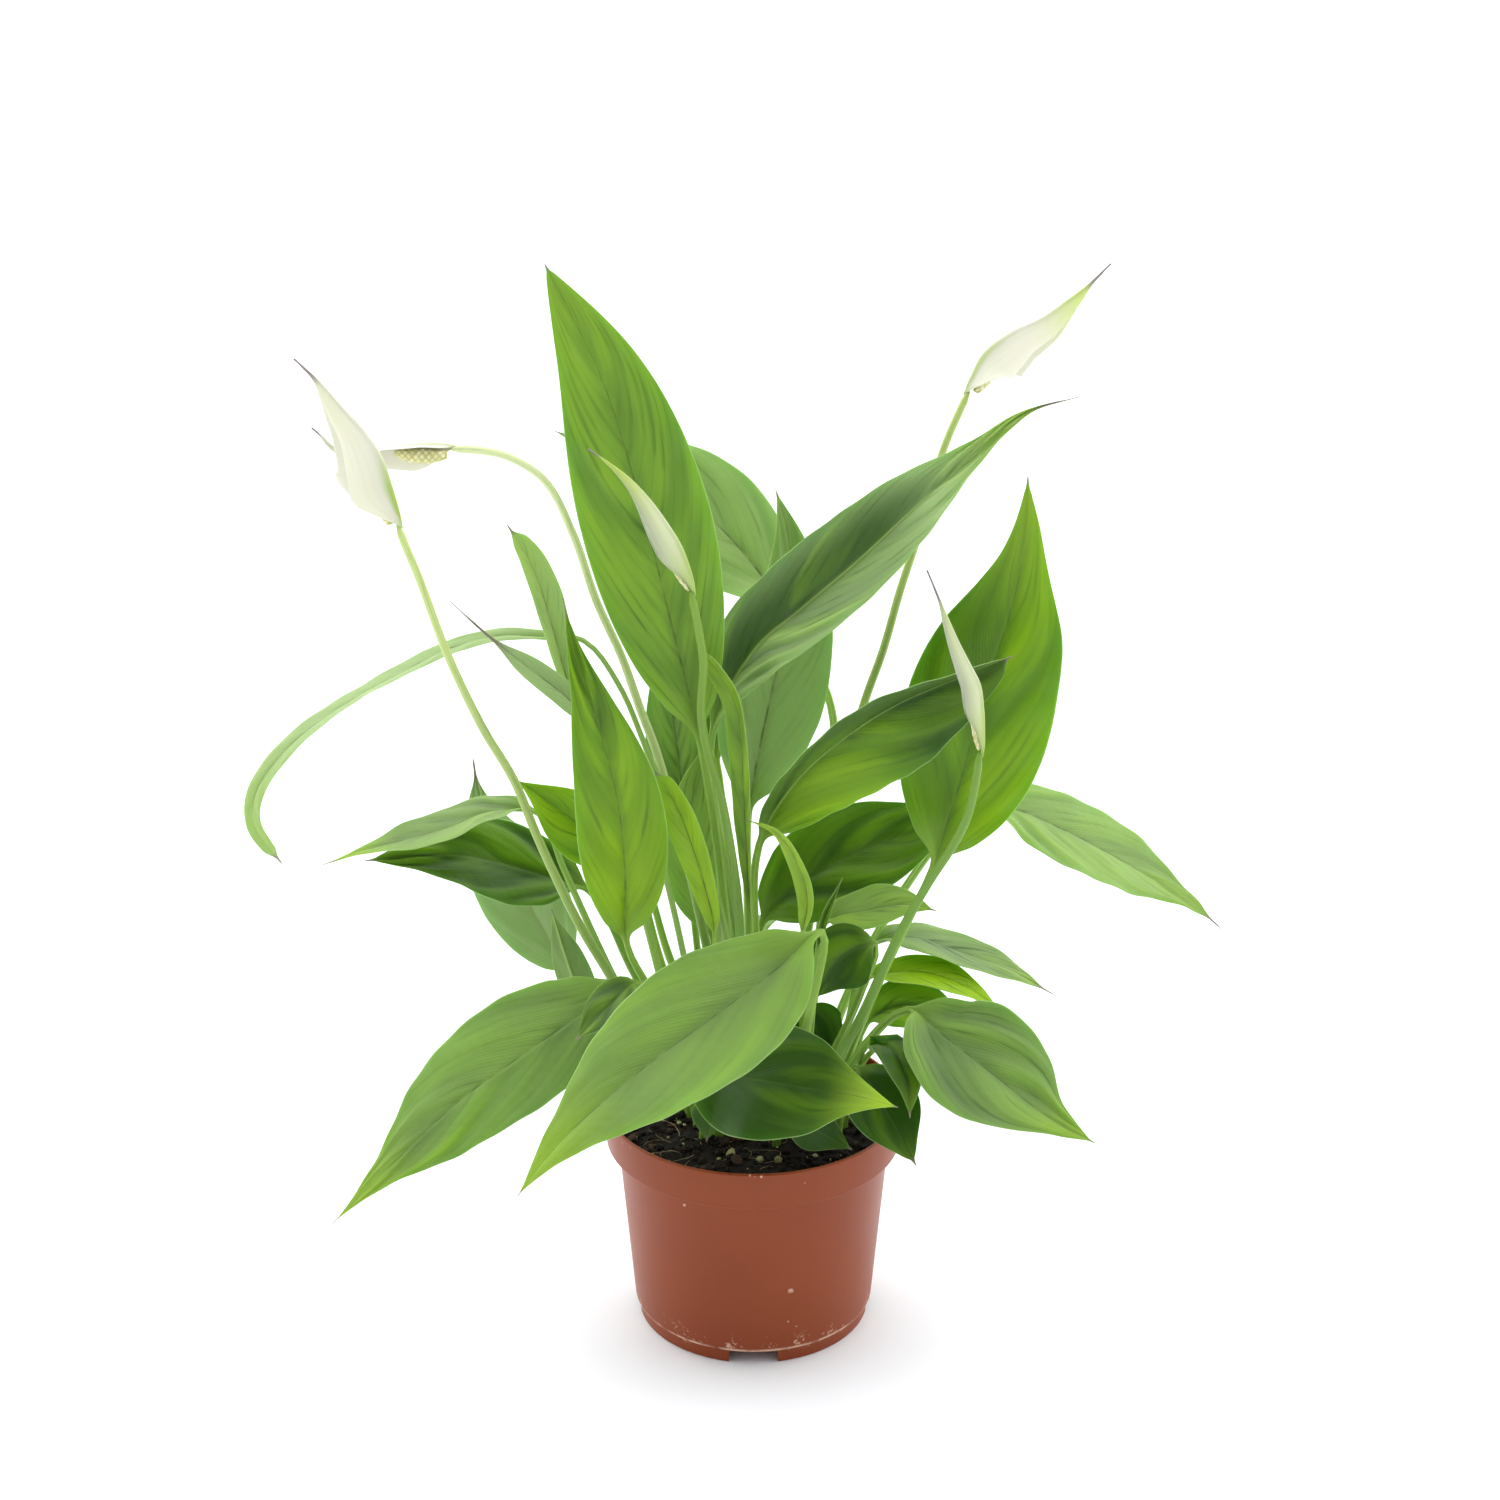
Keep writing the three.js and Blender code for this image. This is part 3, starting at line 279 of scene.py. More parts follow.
# A leaf's root is its place in the soil, across and behind. Its petiole runs through the places
# in stem and its blade through those in blade, all as seen: across, up and behind. The width is
# in mm, fold is how many degrees both halves rise, and face is where the upper side looks. The
# green goes from 0, deep, to 1, bright, and is set low as painted shade for leaves that lie in
# shade. The painted sheen is painted light: a pale sheen and the glow of light through the blade.
# Tip is the yellow at the tip, dry the mm of dead tip, and sides the painted light and shade of
# the left and right half. Sheen sides, rim sheen and far sheen paint the pale sheen on one half,
# one rim or the far part, and far shading paints the far part darker or lighter. The rest are
# strengths.
leafShapes = {
    "tall_left": {
        "root": (-6, 12), "stem": [(-14, 205, 8)], "blade": [(-20, 246, 8), (-31, 297, 14),
        (-42.5, 347, 22), (-55.5, 392, 30), (-75, 434, 38)], "width": 51, "widest": 0.46, "tail": 0,
        "fold": 14, "face": (0.1, -1, 0.25), "green": 0.58, "haze": 0.2, "tip": 0.2, "pleats": 0.9,
        "lines": 1.2,
    },
    "tall_behind": {
        "root": (12, 34), "stem": [(26, 200, 50), (31, 245, 60), (29, 265, 68), (22, 282, 76)],
        "blade": [(12, 300, 84), (0, 320, 90), (-20, 342, 96), (-45, 359, 100), (-73, 372, 102)],
        "width": 46, "fold": 12, "face": (0.2, -0.85, 0.5), "green": 0.8, "haze": 0.95, "dry": 3,
        "pleats": 0.8, "lines": 0.5,
    },
    "small_behind": {
        "root": (2, 26), "stem": [(-2, 170, 46)], "blade": [(-2, 218, 52), (2, 245, 56),
        (8, 275, 60), (14, 305, 62), (13, 330, 62), (8, 350, 62)], "width": 45, "fold": 20,
        "face": (0.1, -0.9, 0.3), "green": 1, "haze": 1.1, "tip": 0.2, "dry": 3, "lines": 0.4,
    },
    # painted light and shade: the left half darker, with a pale painted sheen on the right half,
    # the left rim and the far part
    "dark_right": {
        "root": (4, 16), "stem": [(-8, 180, 20)], "blade": [(-16, 250, 22), (0, 286, 28),
        (18, 303, 30), (39, 322, 34), (60, 343, 38), (80, 362, 38), (100, 379, 36), (119, 385, 34)],
        "width": 42, "widest": 0.36, "tail": 0.4, "fold": 30, "face": (-0.35, -0.8, 0.45),
        "green": 0.2, "haze": 0.26, "tip": 0.7, "dry": 16, "sides": (-0.22, 0.08),
        "sheenSides": (-0.1, 0.45), "rimHaze": (0.55, 0), "farHaze": 1.1, "pleats": 1.8,
        "midrib": 0.6,
    },
    # painted shade on the left half, and a little painted light on the far part
    "large_right": {
        "root": (30, -5), "stem": [(37, 112, -4), (50, 148, -2), (60, 172, 6)],
        "blade": [(69, 194, 16), (74, 212, 20), (80, 235, 24), (87, 268, 26), (96, 300, 28),
        (101, 330, 30), (101, 356, 32)], "width": 60, "tail": 0.3, "fold": 14,
        "face": (-0.05, -1, 0.3), "green": 0.53, "tip": 0.5, "dry": 4, "sides": (-0.16, 0.04),
        "farTone": 0.06, "pleats": 0.85, "lines": 0.8,
    },
    # painted shade: the left half and the far part darker, with a little painted sheen on the left
    # half
    "mid_right": {
        "root": (8, 6), "stem": [(1, 160, 12)], "blade": [(2, 205, 12), (16, 232, 9), (34, 250, 5),
        (54, 264, 1), (75, 274, -3), (98, 284, -7)], "width": 56, "widest": 0.52, "fold": 42,
        "face": (0.24, -0.93, -0.29), "green": 0.55, "haze": 0.02, "dry": 3, "sides": (-0.5, 0.1),
        "sheenSides": (0.15, 0), "farTone": -0.55, "pleats": 1.1, "midrib": 0.45,
    },
    "low_behind_right": {
        "root": (16, 18), "stem": [(6, 140, 24)], "blade": [(3, 171, 24), (18, 188, 26),
        (37, 201, 29), (58, 210, 34), (88, 222, 42)], "width": 42, "fold": 14,
        "face": (0, -0.8, 0.6), "green": 0.3, "dry": 3,
    },
    "far_right": {
        "root": (28, 32), "stem": [(45, 160, 56), (70, 205, 66)], "blade": [(84, 222, 69),
        (100, 221, 70), (118, 213, 70), (138, 202, 70), (157, 190, 70), (172, 180, 68),
        (184, 169, 66)], "width": 39, "tail": 0.35, "fold": 10, "face": (0.25, -0.45, 0.85),
        "green": 0.55, "haze": 0.6, "tip": 0.35, "dry": 9, "lines": 0.5,
    },
    "right_mid": {
        "root": (32, 12), "stem": [(38, 130, 18)], "blade": [(46, 162, 24), (62, 166, 24),
        (80, 160, 22), (100, 152, 18), (120, 140, 14)], "width": 26, "fold": 10,
        "face": (0.2, -0.1, 1), "green": 0.3, "haze": 0.55, "tip": 0.4, "dry": 8, "lines": 1.4,
    },
    "right_bright": {
        "root": (30, 4), "stem": [(36, 120, 10)], "blade": [(44, 147, 14), (58, 151, 13),
        (72, 149.5, 10), (86, 143, 7), (100, 131, 4)], "width": 18, "fold": 14,
        "face": (0.15, -0.35, 0.95), "green": 1.1,
    },
    "right_inner": {
        "root": (37, -2), "stem": [(40, 108, 2)], "blade": [(45, 128, 4), (58, 136, 6),
        (72, 133, 4), (86, 120, 0)], "width": 24, "fold": 14, "face": (0.2, -0.5, 0.85),
        "green": 0.55, "haze": 0.05,
    },
    "lower_right": {
        "root": (28, -14), "stem": [(43, 116, -18)], "blade": [(61, 134, -20), (75, 123, -32),
        (97, 104, -46), (118, 86, -58), (138, 73.5, -66)], "width": 52, "widest": 0.4, "tail": 0.3,
        "fold": 12, "face": (0.3, -0.65, 0.7), "green": 0.34, "haze": 0.34, "tip": 0.45,
        "pleats": 1.3,
    },
    "small_curl": {
        "root": (36, -10), "stem": [(42, 107, -15)], "blade": [(48, 116, -25), (53, 118, -32),
        (58, 112, -41), (62, 100, -48), (63, 85, -53)], "width": 19, "fold": 16,
        "face": (0.45, -0.75, 0.5), "green": 0.12, "tip": 0.3,
    },
    "over_rim_right": {
        "root": (33, -20), "stem": [], "blade": [(41, 108, -27), (47, 100, -33), (53, 89, -40),
        (60, 75, -47), (66, 63, -52)], "width": 30, "fold": 12, "face": (0.2, -0.75, 0.6),
        "green": 0.08, "tip": 0.15,
    },
    "front_dark": {
        "root": (0, -17), "stem": [(-4, 100, -30)], "blade": [(-25, 107, -36), (-2, 103, -50),
        (25, 98, -62), (42, 95, -70), (58, 90, -76)], "width": 49, "widest": 0.37, "swell": 0.75,
        "tail": 0.25, "fold": 8, "face": (0, -0.7, 0.7), "green": 0.08, "haze": 0.05, "tip": 1.1,
        "dry": 1, "pleats": 0.7,
    },
    "front_big": {
        "root": (12, -19), "stem": [(22, 130, -34)], "blade": [(27, 168, -38), (8, 151, -52),
        (-17, 130, -68), (-39, 112, -80), (-63, 90, -92), (-82, 69, -100), (-96, 49, -105)],
        "width": 56, "tail": 0.2, "fold": 10, "face": (-0.25, -0.65, 0.75), "green": 0.47,
        "haze": 0.3, "tip": 0.6, "pleats": 0.35, "lines": 0.35,
    },
    "left_front": {
        "root": (-14, -18), "stem": [(-36, 128, -20)], "blade": [(-50, 147, -22), (-70, 131, -32),
        (-92, 114, -42), (-118, 93, -52), (-146, 64, -58), (-172, 36, -62)], "width": 50.5,
        "widest": 0.37, "tail": 0.3, "fold": 12, "face": (-0.25, -0.65, 0.75), "green": 0.45,
        "haze": 0.3, "tip": 0.6, "sides": (-0.12, -0.02), "sheenSides": (-0.16, 0.1), "pleats": 0.7,
        "lines": 0.6,
    },
    "front_small": {
        "root": (-6, -20), "stem": [(-32, 132, -34)], "blade": [(-46, 146, -36), (-57, 136, -44),
        (-71, 120, -52)], "width": 18, "fold": 14, "face": (-0.2, -0.65, 0.75), "green": 0.25,
        "haze": 0.15,
    },
    "left_upper": {
        "root": (-32, 14), "stem": [(-56, 150, 10), (-74, 196, 18)], "blade": [(-83, 219, 24),
        (-103, 219.5, 20), (-118, 213, 16), (-134, 208, 13), (-151, 203, 10), (-168, 197, 6)],
        "width": 24, "tail": 0.45, "fold": 16, "face": (-0.1, -0.15, 1), "green": 0.42,
        "haze": 0.52, "tip": 0.75, "dry": 5, "sides": (0.1, -0.1), "lines": 0.7,
    },
    "left_lower": {
        "root": (-24, 22), "stem": [(-47, 150, 26)], "blade": [(-64, 186, 32), (-80, 192, 32),
        (-95, 197, 30), (-112, 201, 24), (-130, 201, 18), (-151, 199, 12)], "width": 38, "fold": 14,
        "face": (-0.1, -0.6, 0.8), "green": 0.26, "tip": 0.2, "dry": 3, "pleats": 1.5,
    },
    "left_round": {
        "root": (-24, 8), "stem": [(-38, 160, 9)], "blade": [(-48, 196, 13), (-66, 213, 15),
        (-80, 225, 14), (-91, 233, 12)], "width": 27, "foot": 3, "fold": 12,
        "face": (-0.3, -0.8, 0.5), "green": 0.72, "dry": 1,
    },
    "left_arch": {
        "root": (-8, 4), "stem": [(-11, 168, -1), (-20, 200, 2), (-30, 222, 5), (-38, 238, 7),
        (-51, 272, 12)], "blade": [(-64, 290, 14), (-80, 291.5, 16), (-96, 292, 16),
        (-114, 287, 14), (-130, 279, 12), (-146, 270, 10), (-160, 261, 6), (-173, 251, 2),
        (-185, 238, -3), (-191, 228, -6), (-193, 219, -8), (-192, 212, -9), (-183, 197.5, -10)],
        "width": 12.5, "widest": 0.6, "swell": 0.5, "fold": 14, "face": (-0.1, -0.35, 0.93),
        "faceMid": (-0.48, -0.1, 0.88), "faceTip": (-0.6, -0.8, 0.1), "green": 0.72, "haze": 1.2,
        "tip": 0.4, "dry": 4, "lines": 0.3,
    },
    "left_narrow": {
        "root": (-18, 6), "stem": [(-36, 200, -8)], "blade": [(-50, 245, -11), (-71, 267, -12),
        (-91, 284, -12), (-103, 295, -12), (-114, 306, -12)], "width": 11, "tail": 0.7, "fold": 20,
        "face": (-0.2, -0.6, 0.8), "green": 1, "haze": 1.2, "dry": 26, "lines": 0.3,
    },
    "left_upright": {
        "root": (-26, -2), "stem": [(-50, 205, 0)], "blade": [(-64, 250, 3), (-71, 275, 4),
        (-75, 292, 4), (-79, 308, 3), (-84, 322, 2), (-91.5, 336, 0)], "width": 16, "widest": 0.58,
        "tail": 0, "fold": 30, "face": (0.75, -0.75, 0.2), "green": 1, "haze": 0.85, "tip": 0.2,
        "dry": 4, "lines": 0.5,
    },
    "mid_left": {
        "root": (-22, -10), "stem": [(-40, 140, -14)], "blade": [(-49.5, 162, -16), (-50, 195, -22),
        (-53, 228, -26), (-61, 262, -26), (-68, 288, -22), (-71.5, 307, -18)], "width": 36,
        "widest": 0.36, "fold": 18, "face": (0.1, -0.95, 0.25), "green": 0.56, "tip": 0.05,
        "dry": 6, "sides": (0, -0.08), "base": 0.5, "pleats": 1,
    },
    "left_behind": {
        "root": (-34, 26), "stem": [(-50, 128, 38)], "blade": [(-70, 148, 50), (-85, 175, 60),
        (-97, 200, 64), (-105, 222, 64), (-107.5, 243, 62)], "width": 37, "tail": 0.4, "fold": 14,
        "face": (-0.1, -0.9, 0.4), "green": 0.9, "haze": 1.25, "dry": 12, "midrib": 0.5,
        "lines": 0.3,
    },
    "left_bluish": {
        "root": (-40, 6), "stem": [], "blade": [(-62, 128, 12), (-70, 145, 14), (-75, 162, 14),
        (-79, 178, 12)], "width": 17, "fold": 20, "face": (0.3, 0.9, -0.2), "green": 0,
        "haze": 0.42,
    },
    "center_green": {
        "root": (-14, -4), "stem": [(-17, 130, -2)], "blade": [(-15, 166, -4), (-19, 188, -6),
        (-25, 209, -6), (-31, 225, -5), (-38, 237, -4)], "width": 14, "widest": 0.66, "swell": 0.55,
        "fold": 22, "face": (-0.3, -0.9, 0.2), "green": 0.98, "haze": 0.1, "lines": 0.5,
    },
    "center_dark": {
        "root": (-16, 20), "stem": [(-22, 160, 36)], "blade": [(-26, 205, 42), (-28, 235, 45),
        (-31, 262, 48), (-36, 300, 52)], "width": 26, "fold": 16, "face": (0, -0.95, 0.3),
        "green": 0.5, "haze": 0.45,
    },
    "center_pale": {
        "root": (-10, 28), "stem": [(-14, 140, 30)], "blade": [(-16, 165, 31), (-21, 188, 32),
        (-24, 208, 32), (-23, 230, 32), (-18, 250, 32)], "width": 27, "fold": 18,
        "face": (0.1, -0.9, 0.3), "green": 0.85, "haze": 0.6,
    },
    "center_sheath": {
        "root": (4, -6), "stem": [(0, 140, -6)], "blade": [(-1, 170, -5), (-3, 210, -3),
        (-5, 250, -1), (-8, 268, 1), (-20, 287, 4)], "width": 12, "widest": 0.7, "fold": 30,
        "face": (-0.6, -0.7, 0.2), "green": 0.66, "haze": 0.2, "lines": 0.5,
    },
    "center_curl": {
        "root": (12, -2), "stem": [(16, 140, -4)], "blade": [(19, 166, -6), (21, 183, -10),
        (17, 198, -12), (9, 211, -12), (-3, 216.5, -11)], "width": 9, "fold": 30,
        "face": (-0.5, -0.8, 0.3), "green": 1.1, "haze": 0.3, "lines": 0.3,
    },
    "spear_front": {
        "root": (20, -12), "stem": [(24, 140, -26)], "blade": [(25, 160, -26), (28, 175, -25),
        (34.5, 191.5, -24)], "width": 4, "fold": 40, "face": (0, -1, 0.2), "green": 0.2, "dry": 1,
    },
    "right_light": {
        "root": (22, 8), "stem": [(20, 140, 4)], "blade": [(28, 172, 7), (45, 178, 2),
        (60, 180, -2), (71.5, 177.5, -8)], "width": 24, "fold": 12, "face": (0, -0.4, 0.9),
        "green": 0.66, "haze": 0.35, "tip": 0.3,
    },
    "right_dark": {
        "root": (22, -4), "stem": [(42, 140, -10)], "blade": [(48, 163, -12), (39, 160, -14),
        (30, 150, -16), (24, 138, -18)], "width": 27, "fold": 8, "face": (0.2, -0.8, 0.55),
        "green": 0.08,
    },
    "low_dark": {
        "root": (23, 15), "stem": [], "blade": [(32, 115, 13), (26, 121, 13), (18, 126, 12.5),
        (9, 130, 12)], "width": 30, "fold": 8, "face": (0.05, -0.97, 0.2), "green": 0.12, "dry": 1,
    },
    "soil_right": {
        "root": (9, -25), "stem": [], "blade": [(12, 86, -34), (26, 79, -38), (40, 70.5, -42)],
        "width": 20, "fold": 10, "face": (0, -0.5, 0.85), "green": -0.1, "dry": 1,
    },
    "soil_left": {
        "root": (-20, -22), "stem": [], "blade": [(-18, 96, -34), (-18, 86, -38), (-19, 74, -42)],
        "width": 14, "fold": 12, "face": (0.1, -0.6, 0.8), "green": 0, "haze": 0.1, "dry": 1,
    },
    "back_right": {
        "root": (22, 40), "stem": [(26, 158, 60)], "blade": [(30, 190, 74), (40, 206, 88),
        (54, 214, 97), (70, 214, 105)], "width": 39.5, "fold": 14, "face": (0.25, 0.2, 0.9),
        "green": 0.3, "haze": 0.1, "tip": 0.2, "dry": 3,
    },
    "back_center": {
        "root": (-2, 42), "stem": [(-10, 190, 62)], "blade": [(-14, 240, 74), (-22, 270, 88),
        (-30, 290, 98), (-42, 302, 106)], "width": 42, "fold": 16, "face": (0, -0.3, 0.9),
        "green": 0.4, "haze": 0.1, "tip": 0.2, "dry": 3,
    },
    "back_left": {
        "root": (-18, 38), "stem": [(-34, 160, 60)], "blade": [(-42, 190, 72), (-52, 206, 84),
        (-64, 212, 95), (-74, 208, 105)], "width": 36, "fold": 14, "face": (-0.25, 0.2, 0.9),
        "green": 0.2, "haze": 0.1, "tip": 0.2, "dry": 3,
    },
    "back_low": {
        "root": (8, 46), "stem": [(8, 140, 54)], "blade": [(4, 166, 66), (-2, 174, 82),
        (-8, 172, 95), (-14, 160, 106)], "width": 36, "fold": 12, "face": (0, 0.3, 0.9),
        "green": 0.2, "haze": 0.1, "tip": 0.2, "dry": 3,
    },
}
leafMake = {
    "rowSpacing": 1.4,  # mm between rows of points along a blade
    "stemSpacing": 5,
    "halfColumns": 16,  # columns from the midrib to a margin
    "smallColumns": 11,  # the same for a blade under 30 mm wide
    "thickness": 0.46,
    "marginThickness": 0.2,
    "arch": 0.1,
    "waveHeight": 0.05,  # the margin's long waves, as a share of the blade's half width
    "waves": 1.6,
    "ruffle": 0.35,  # mm, the margin's short waves
    "ruffleLength": 17,
    "veinSpacing": (4.0, 0.16),  # mm along the midrib: a start, and more for each mm of width
    "veinSlant": (1.6, 1.3),  # how a vein runs towards the tip on its way to the margin
    "veinDepth": 0.22,
    "veinWidth": 0.16,  # as a share of the spacing
    "veinStrengths": (0.3, 1.5),  # from the faintest to the deepest
    "veinShift": 0.43,  # how far the right half's veins stand from the left half's, in spacings
    "pleatHeight": 0.75,  # mm, the soft bands between groups of veins
    "pleatVeins": 1.15,  # veins to half a band, about
    # what a leaf has if it gives none of its own
    "outline": {"widest": 0.4, "swell": 0.9, "tail": 0.1},
    "plain": {"haze": 0, "tip": 0.1, "dry": 2},
    "threadHalf": 0.45,  # mm, half the width of the dry thread, and of its very end
    "tipHalf": 0.18,
    "footHalf": (1.3, 2.4),  # mm, the petiole's radius in the soil, for the least and widest blade
    "neckHalf": (0.8, 1.5),
    "wideBlade": 45,
    "groove": 0.25,
}


def facingsAlong(shape, t):
    # Where the upper side looks at each t: from face, by way of faceMid, to faceTip.
    start, end = (np.array(shape.get(key, shape["face"])) for key in ("face", "faceTip"))
    start, end, w = start / np.linalg.norm(start), end / np.linalg.norm(end), t[:, None]
    if "faceMid" not in shape:
        return mix(start, end, w)
    middle = np.array(shape["faceMid"]) / np.linalg.norm(shape["faceMid"])
    return np.where(w < 0.5, mix(start, middle, 2 * w), mix(middle, end, 2 * w - 1))


def between(x, table):  # a smooth line through a table's numbers, one for each whole step
    step = np.floor(x).astype(int)
    return mix(table[step % len(table)], table[(step + 1) % len(table)], smooth(x - step, 0, 1))


def makeLeaf(name, shape, index):
    make = leafMake
    shape = {**make["plain"], **shape}
    grown = np.random.default_rng(100 + index)
    line = growthLine(shape["root"], shape["stem"], shape["blade"])
    length = line["reached"][-1] - line["neck"]
    heavy = min(1, shape["width"] / make["wideBlade"])
    foot, neck = shape.get("foot", mix(*make["footHalf"], heavy)), mix(*make["neckHalf"], heavy)
    v = columnShares(make["halfColumns"] if shape["width"] >= 30 else make["smallColumns"])

    # the petiole: upright in the soil, then up to the blade
    stemLong = line["neck"] - line["ground"]
    stations = max(3, round(stemLong / make["stemSpacing"]))
    stemRows = np.linspace(line["ground"], line["neck"], stations)[1:]
    frames = framesStanding(line, stemRows, facingsAlong(shape, np.zeros(1))[0])
    share = np.concatenate([[0, 0], (stemRows - line["ground"]) / stemLong])
    stem = placed(frames, *roundSection(v, mix(foot, neck, share), make["groove"]))

    # the blade
    rows = max(12, round(length / make["rowSpacing"]))
    t = np.linspace(0, 1, rows + 1)[1:]
    frames = framesFacing(line, line["neck"] + t * length, facingsAlong(shape, t))
    half = shape["width"] / 2 * outline(t, {**make["outline"], **shape})
    left = (1 - t) * length  # mm to the tip
    threadEnd = smooth(left, 0.5 * shape["dry"], 1.5 * shape["dry"] + 2)
    half = mix(np.minimum(half, make["threadHalf"]), half, threadEnd)
    half = np.maximum(half, make["tipHalf"])
    fold = np.radians(mix(plantMake["petioleFold"], shape["fold"], smooth(t, 0, 0.2)))
    turn = 2 * math.pi * make["waves"] * t + index
    waves = make["waveHeight"] * np.where(v < 0, np.sin(turn)[:, None], np.sin(turn + 2)[:, None])
    size = np.abs(v)
    spacing = make["veinSpacing"][0] + make["veinSpacing"][1] * shape["width"]
    slant = shape["width"] / 2 * (make["veinSlant"][0] * size + make["veinSlant"][1] * size ** 2)
    vein = (t[:, None] * length - slant) / spacing + make["veinShift"] * (v > 0)
    nearVein = np.abs(vein - np.round(vein))
    body = smooth(t, 0.03, 0.2) * (1 - smooth(t, 0.82, 0.97))
    inside = smooth(size, 0.02, 0.16) * (1 - smooth(size, 0.72, 1))
    scale = min(1, shape["width"] / 40)
    depths = grown.uniform(*make["veinStrengths"], 40)[np.round(vein).astype(int) % 40]
    relief = -make["veinDepth"] * depths * np.exp(-(nearVein / make["veinWidth"]) ** 2)
    pleat = between(vein / make["pleatVeins"] + 13 * (v > 0) + 1.5 * size, grown.uniform(-1, 1, 31))
    pleat = pleat * shape.get("pleats", 1) * body[:, None] * inside
    relief = relief * body[:, None] * inside * scale + make["pleatHeight"] * pleat * scale
    ruffle = np.sin(2 * math.pi * t[:, None] * length / make["ruffleLength"] + np.sign(v) + index)
    relief = relief + make["ruffle"] * scale * ruffle * size ** 3 * body[:, None]
    relief = relief + half[:, None] * waves * v ** 2
    thick = mix(make["thickness"], make["marginThickness"], size ** 5) / 2
    thick = thick * mix(0.5, 1, smooth(left, 0, 12))[:, None]
    rib = neck * 0.9 * (1 - t) ** 0.8 + 0.01
    flat = bladeSection(v, half, fold, make["arch"], relief, thick, rib)
    rolled = roundSection(v, np.full(rows, neck), make["groove"])
    flatness = smooth(t, 0, 0.1)[:, None, None]
    blade = placed(frames, mix(rolled[0], flat[0], flatness), mix(rolled[1], flat[1], flatness))

    points = np.concatenate([stem, blade])
    stemCount = len(stem)
    piece = addPiece(
        pieceName("leaf_" + name), points.reshape(-1, 3), skinFaces(len(points), len(v)),
        leafMaterial, ["leaf_" + name],
    )

    def full(values):
        return np.broadcast_to(values, (len(points), 2, len(v)))

    def row(stemValues, bladeValues):
        return full(np.concatenate([stemValues, bladeValues])[:, None, None])

    # what the material needs to know at each point
    none = np.zeros(stemCount)
    pleats = np.concatenate([np.zeros((stemCount, len(v))), pleat])[:, None, :]
    # painted light and shade: a pale painted sheen on a half, a rim or the far part, and each half
    # and the far part drawn darker or lighter
    sheens = shape["haze"] + np.where(v < 0, *shape.get("sheenSides", (0, 0))) * smooth(size, 0, 0.12)
    sheens = sheens + np.where(v < 0, *shape.get("rimHaze", (0, 0))) * smooth(size, 0.35, 1)
    farHalf = np.concatenate([none, smooth(t, 0.5, 0.8)])[:, None, None]
    sheens = sheens + shape.get("farHaze", 0) * farHalf
    hollow = -0.12 * np.exp(-(size / 0.16) ** 2)  # painted shade: deeper green in the crease beside the midrib
    sideShading = np.where(v < 0, *shape.get("sides", (0, 0))) * smooth(size, 0, 0.12)
    veins = np.concatenate([np.zeros((stemCount, len(v))), vein])[:, None, :]
    reach = row((share - 1) * stemLong, t * length)
    tip = shape["tip"] * smooth(t, 0.62, 0.97) * mix(0.55, 1, threadEnd)
    paint(
        piece,
        vein=full(veins), across=full(v), reach=reach,
        under=full(np.array([0, 1])[None, :, None]),
        stem=row(none + 1, 1 - smooth(t, 0.0, 0.16)),
        tip=row(none, tip),
        dry=row(none, 1 - smooth(left, 0.6 * shape["dry"], 1.3 * shape["dry"] + 1)),
        green=shape["green"] + full(sideShading + hollow) * row(none, smooth(t, 0, 0.1))
        + row(none, shape.get("farTone", 0) * smooth(t, 0.4, 0.75)),
        haze=full(sheens), pleat=full(pleats),
        midrib=row(none, np.full(rows, shape.get("midrib", 0))),
        lines=row(none, np.full(rows, shape.get("lines", 1))),
        base=row(none, shape.get("base", 0) * (1 - smooth(t, 0.1, 0.75))),
        ribWide=row(none + 1, np.clip(rib * 0.9 / np.maximum(half, 0.5), 0, 1)),
        seed=full(np.array(index * 7.31)),
    )


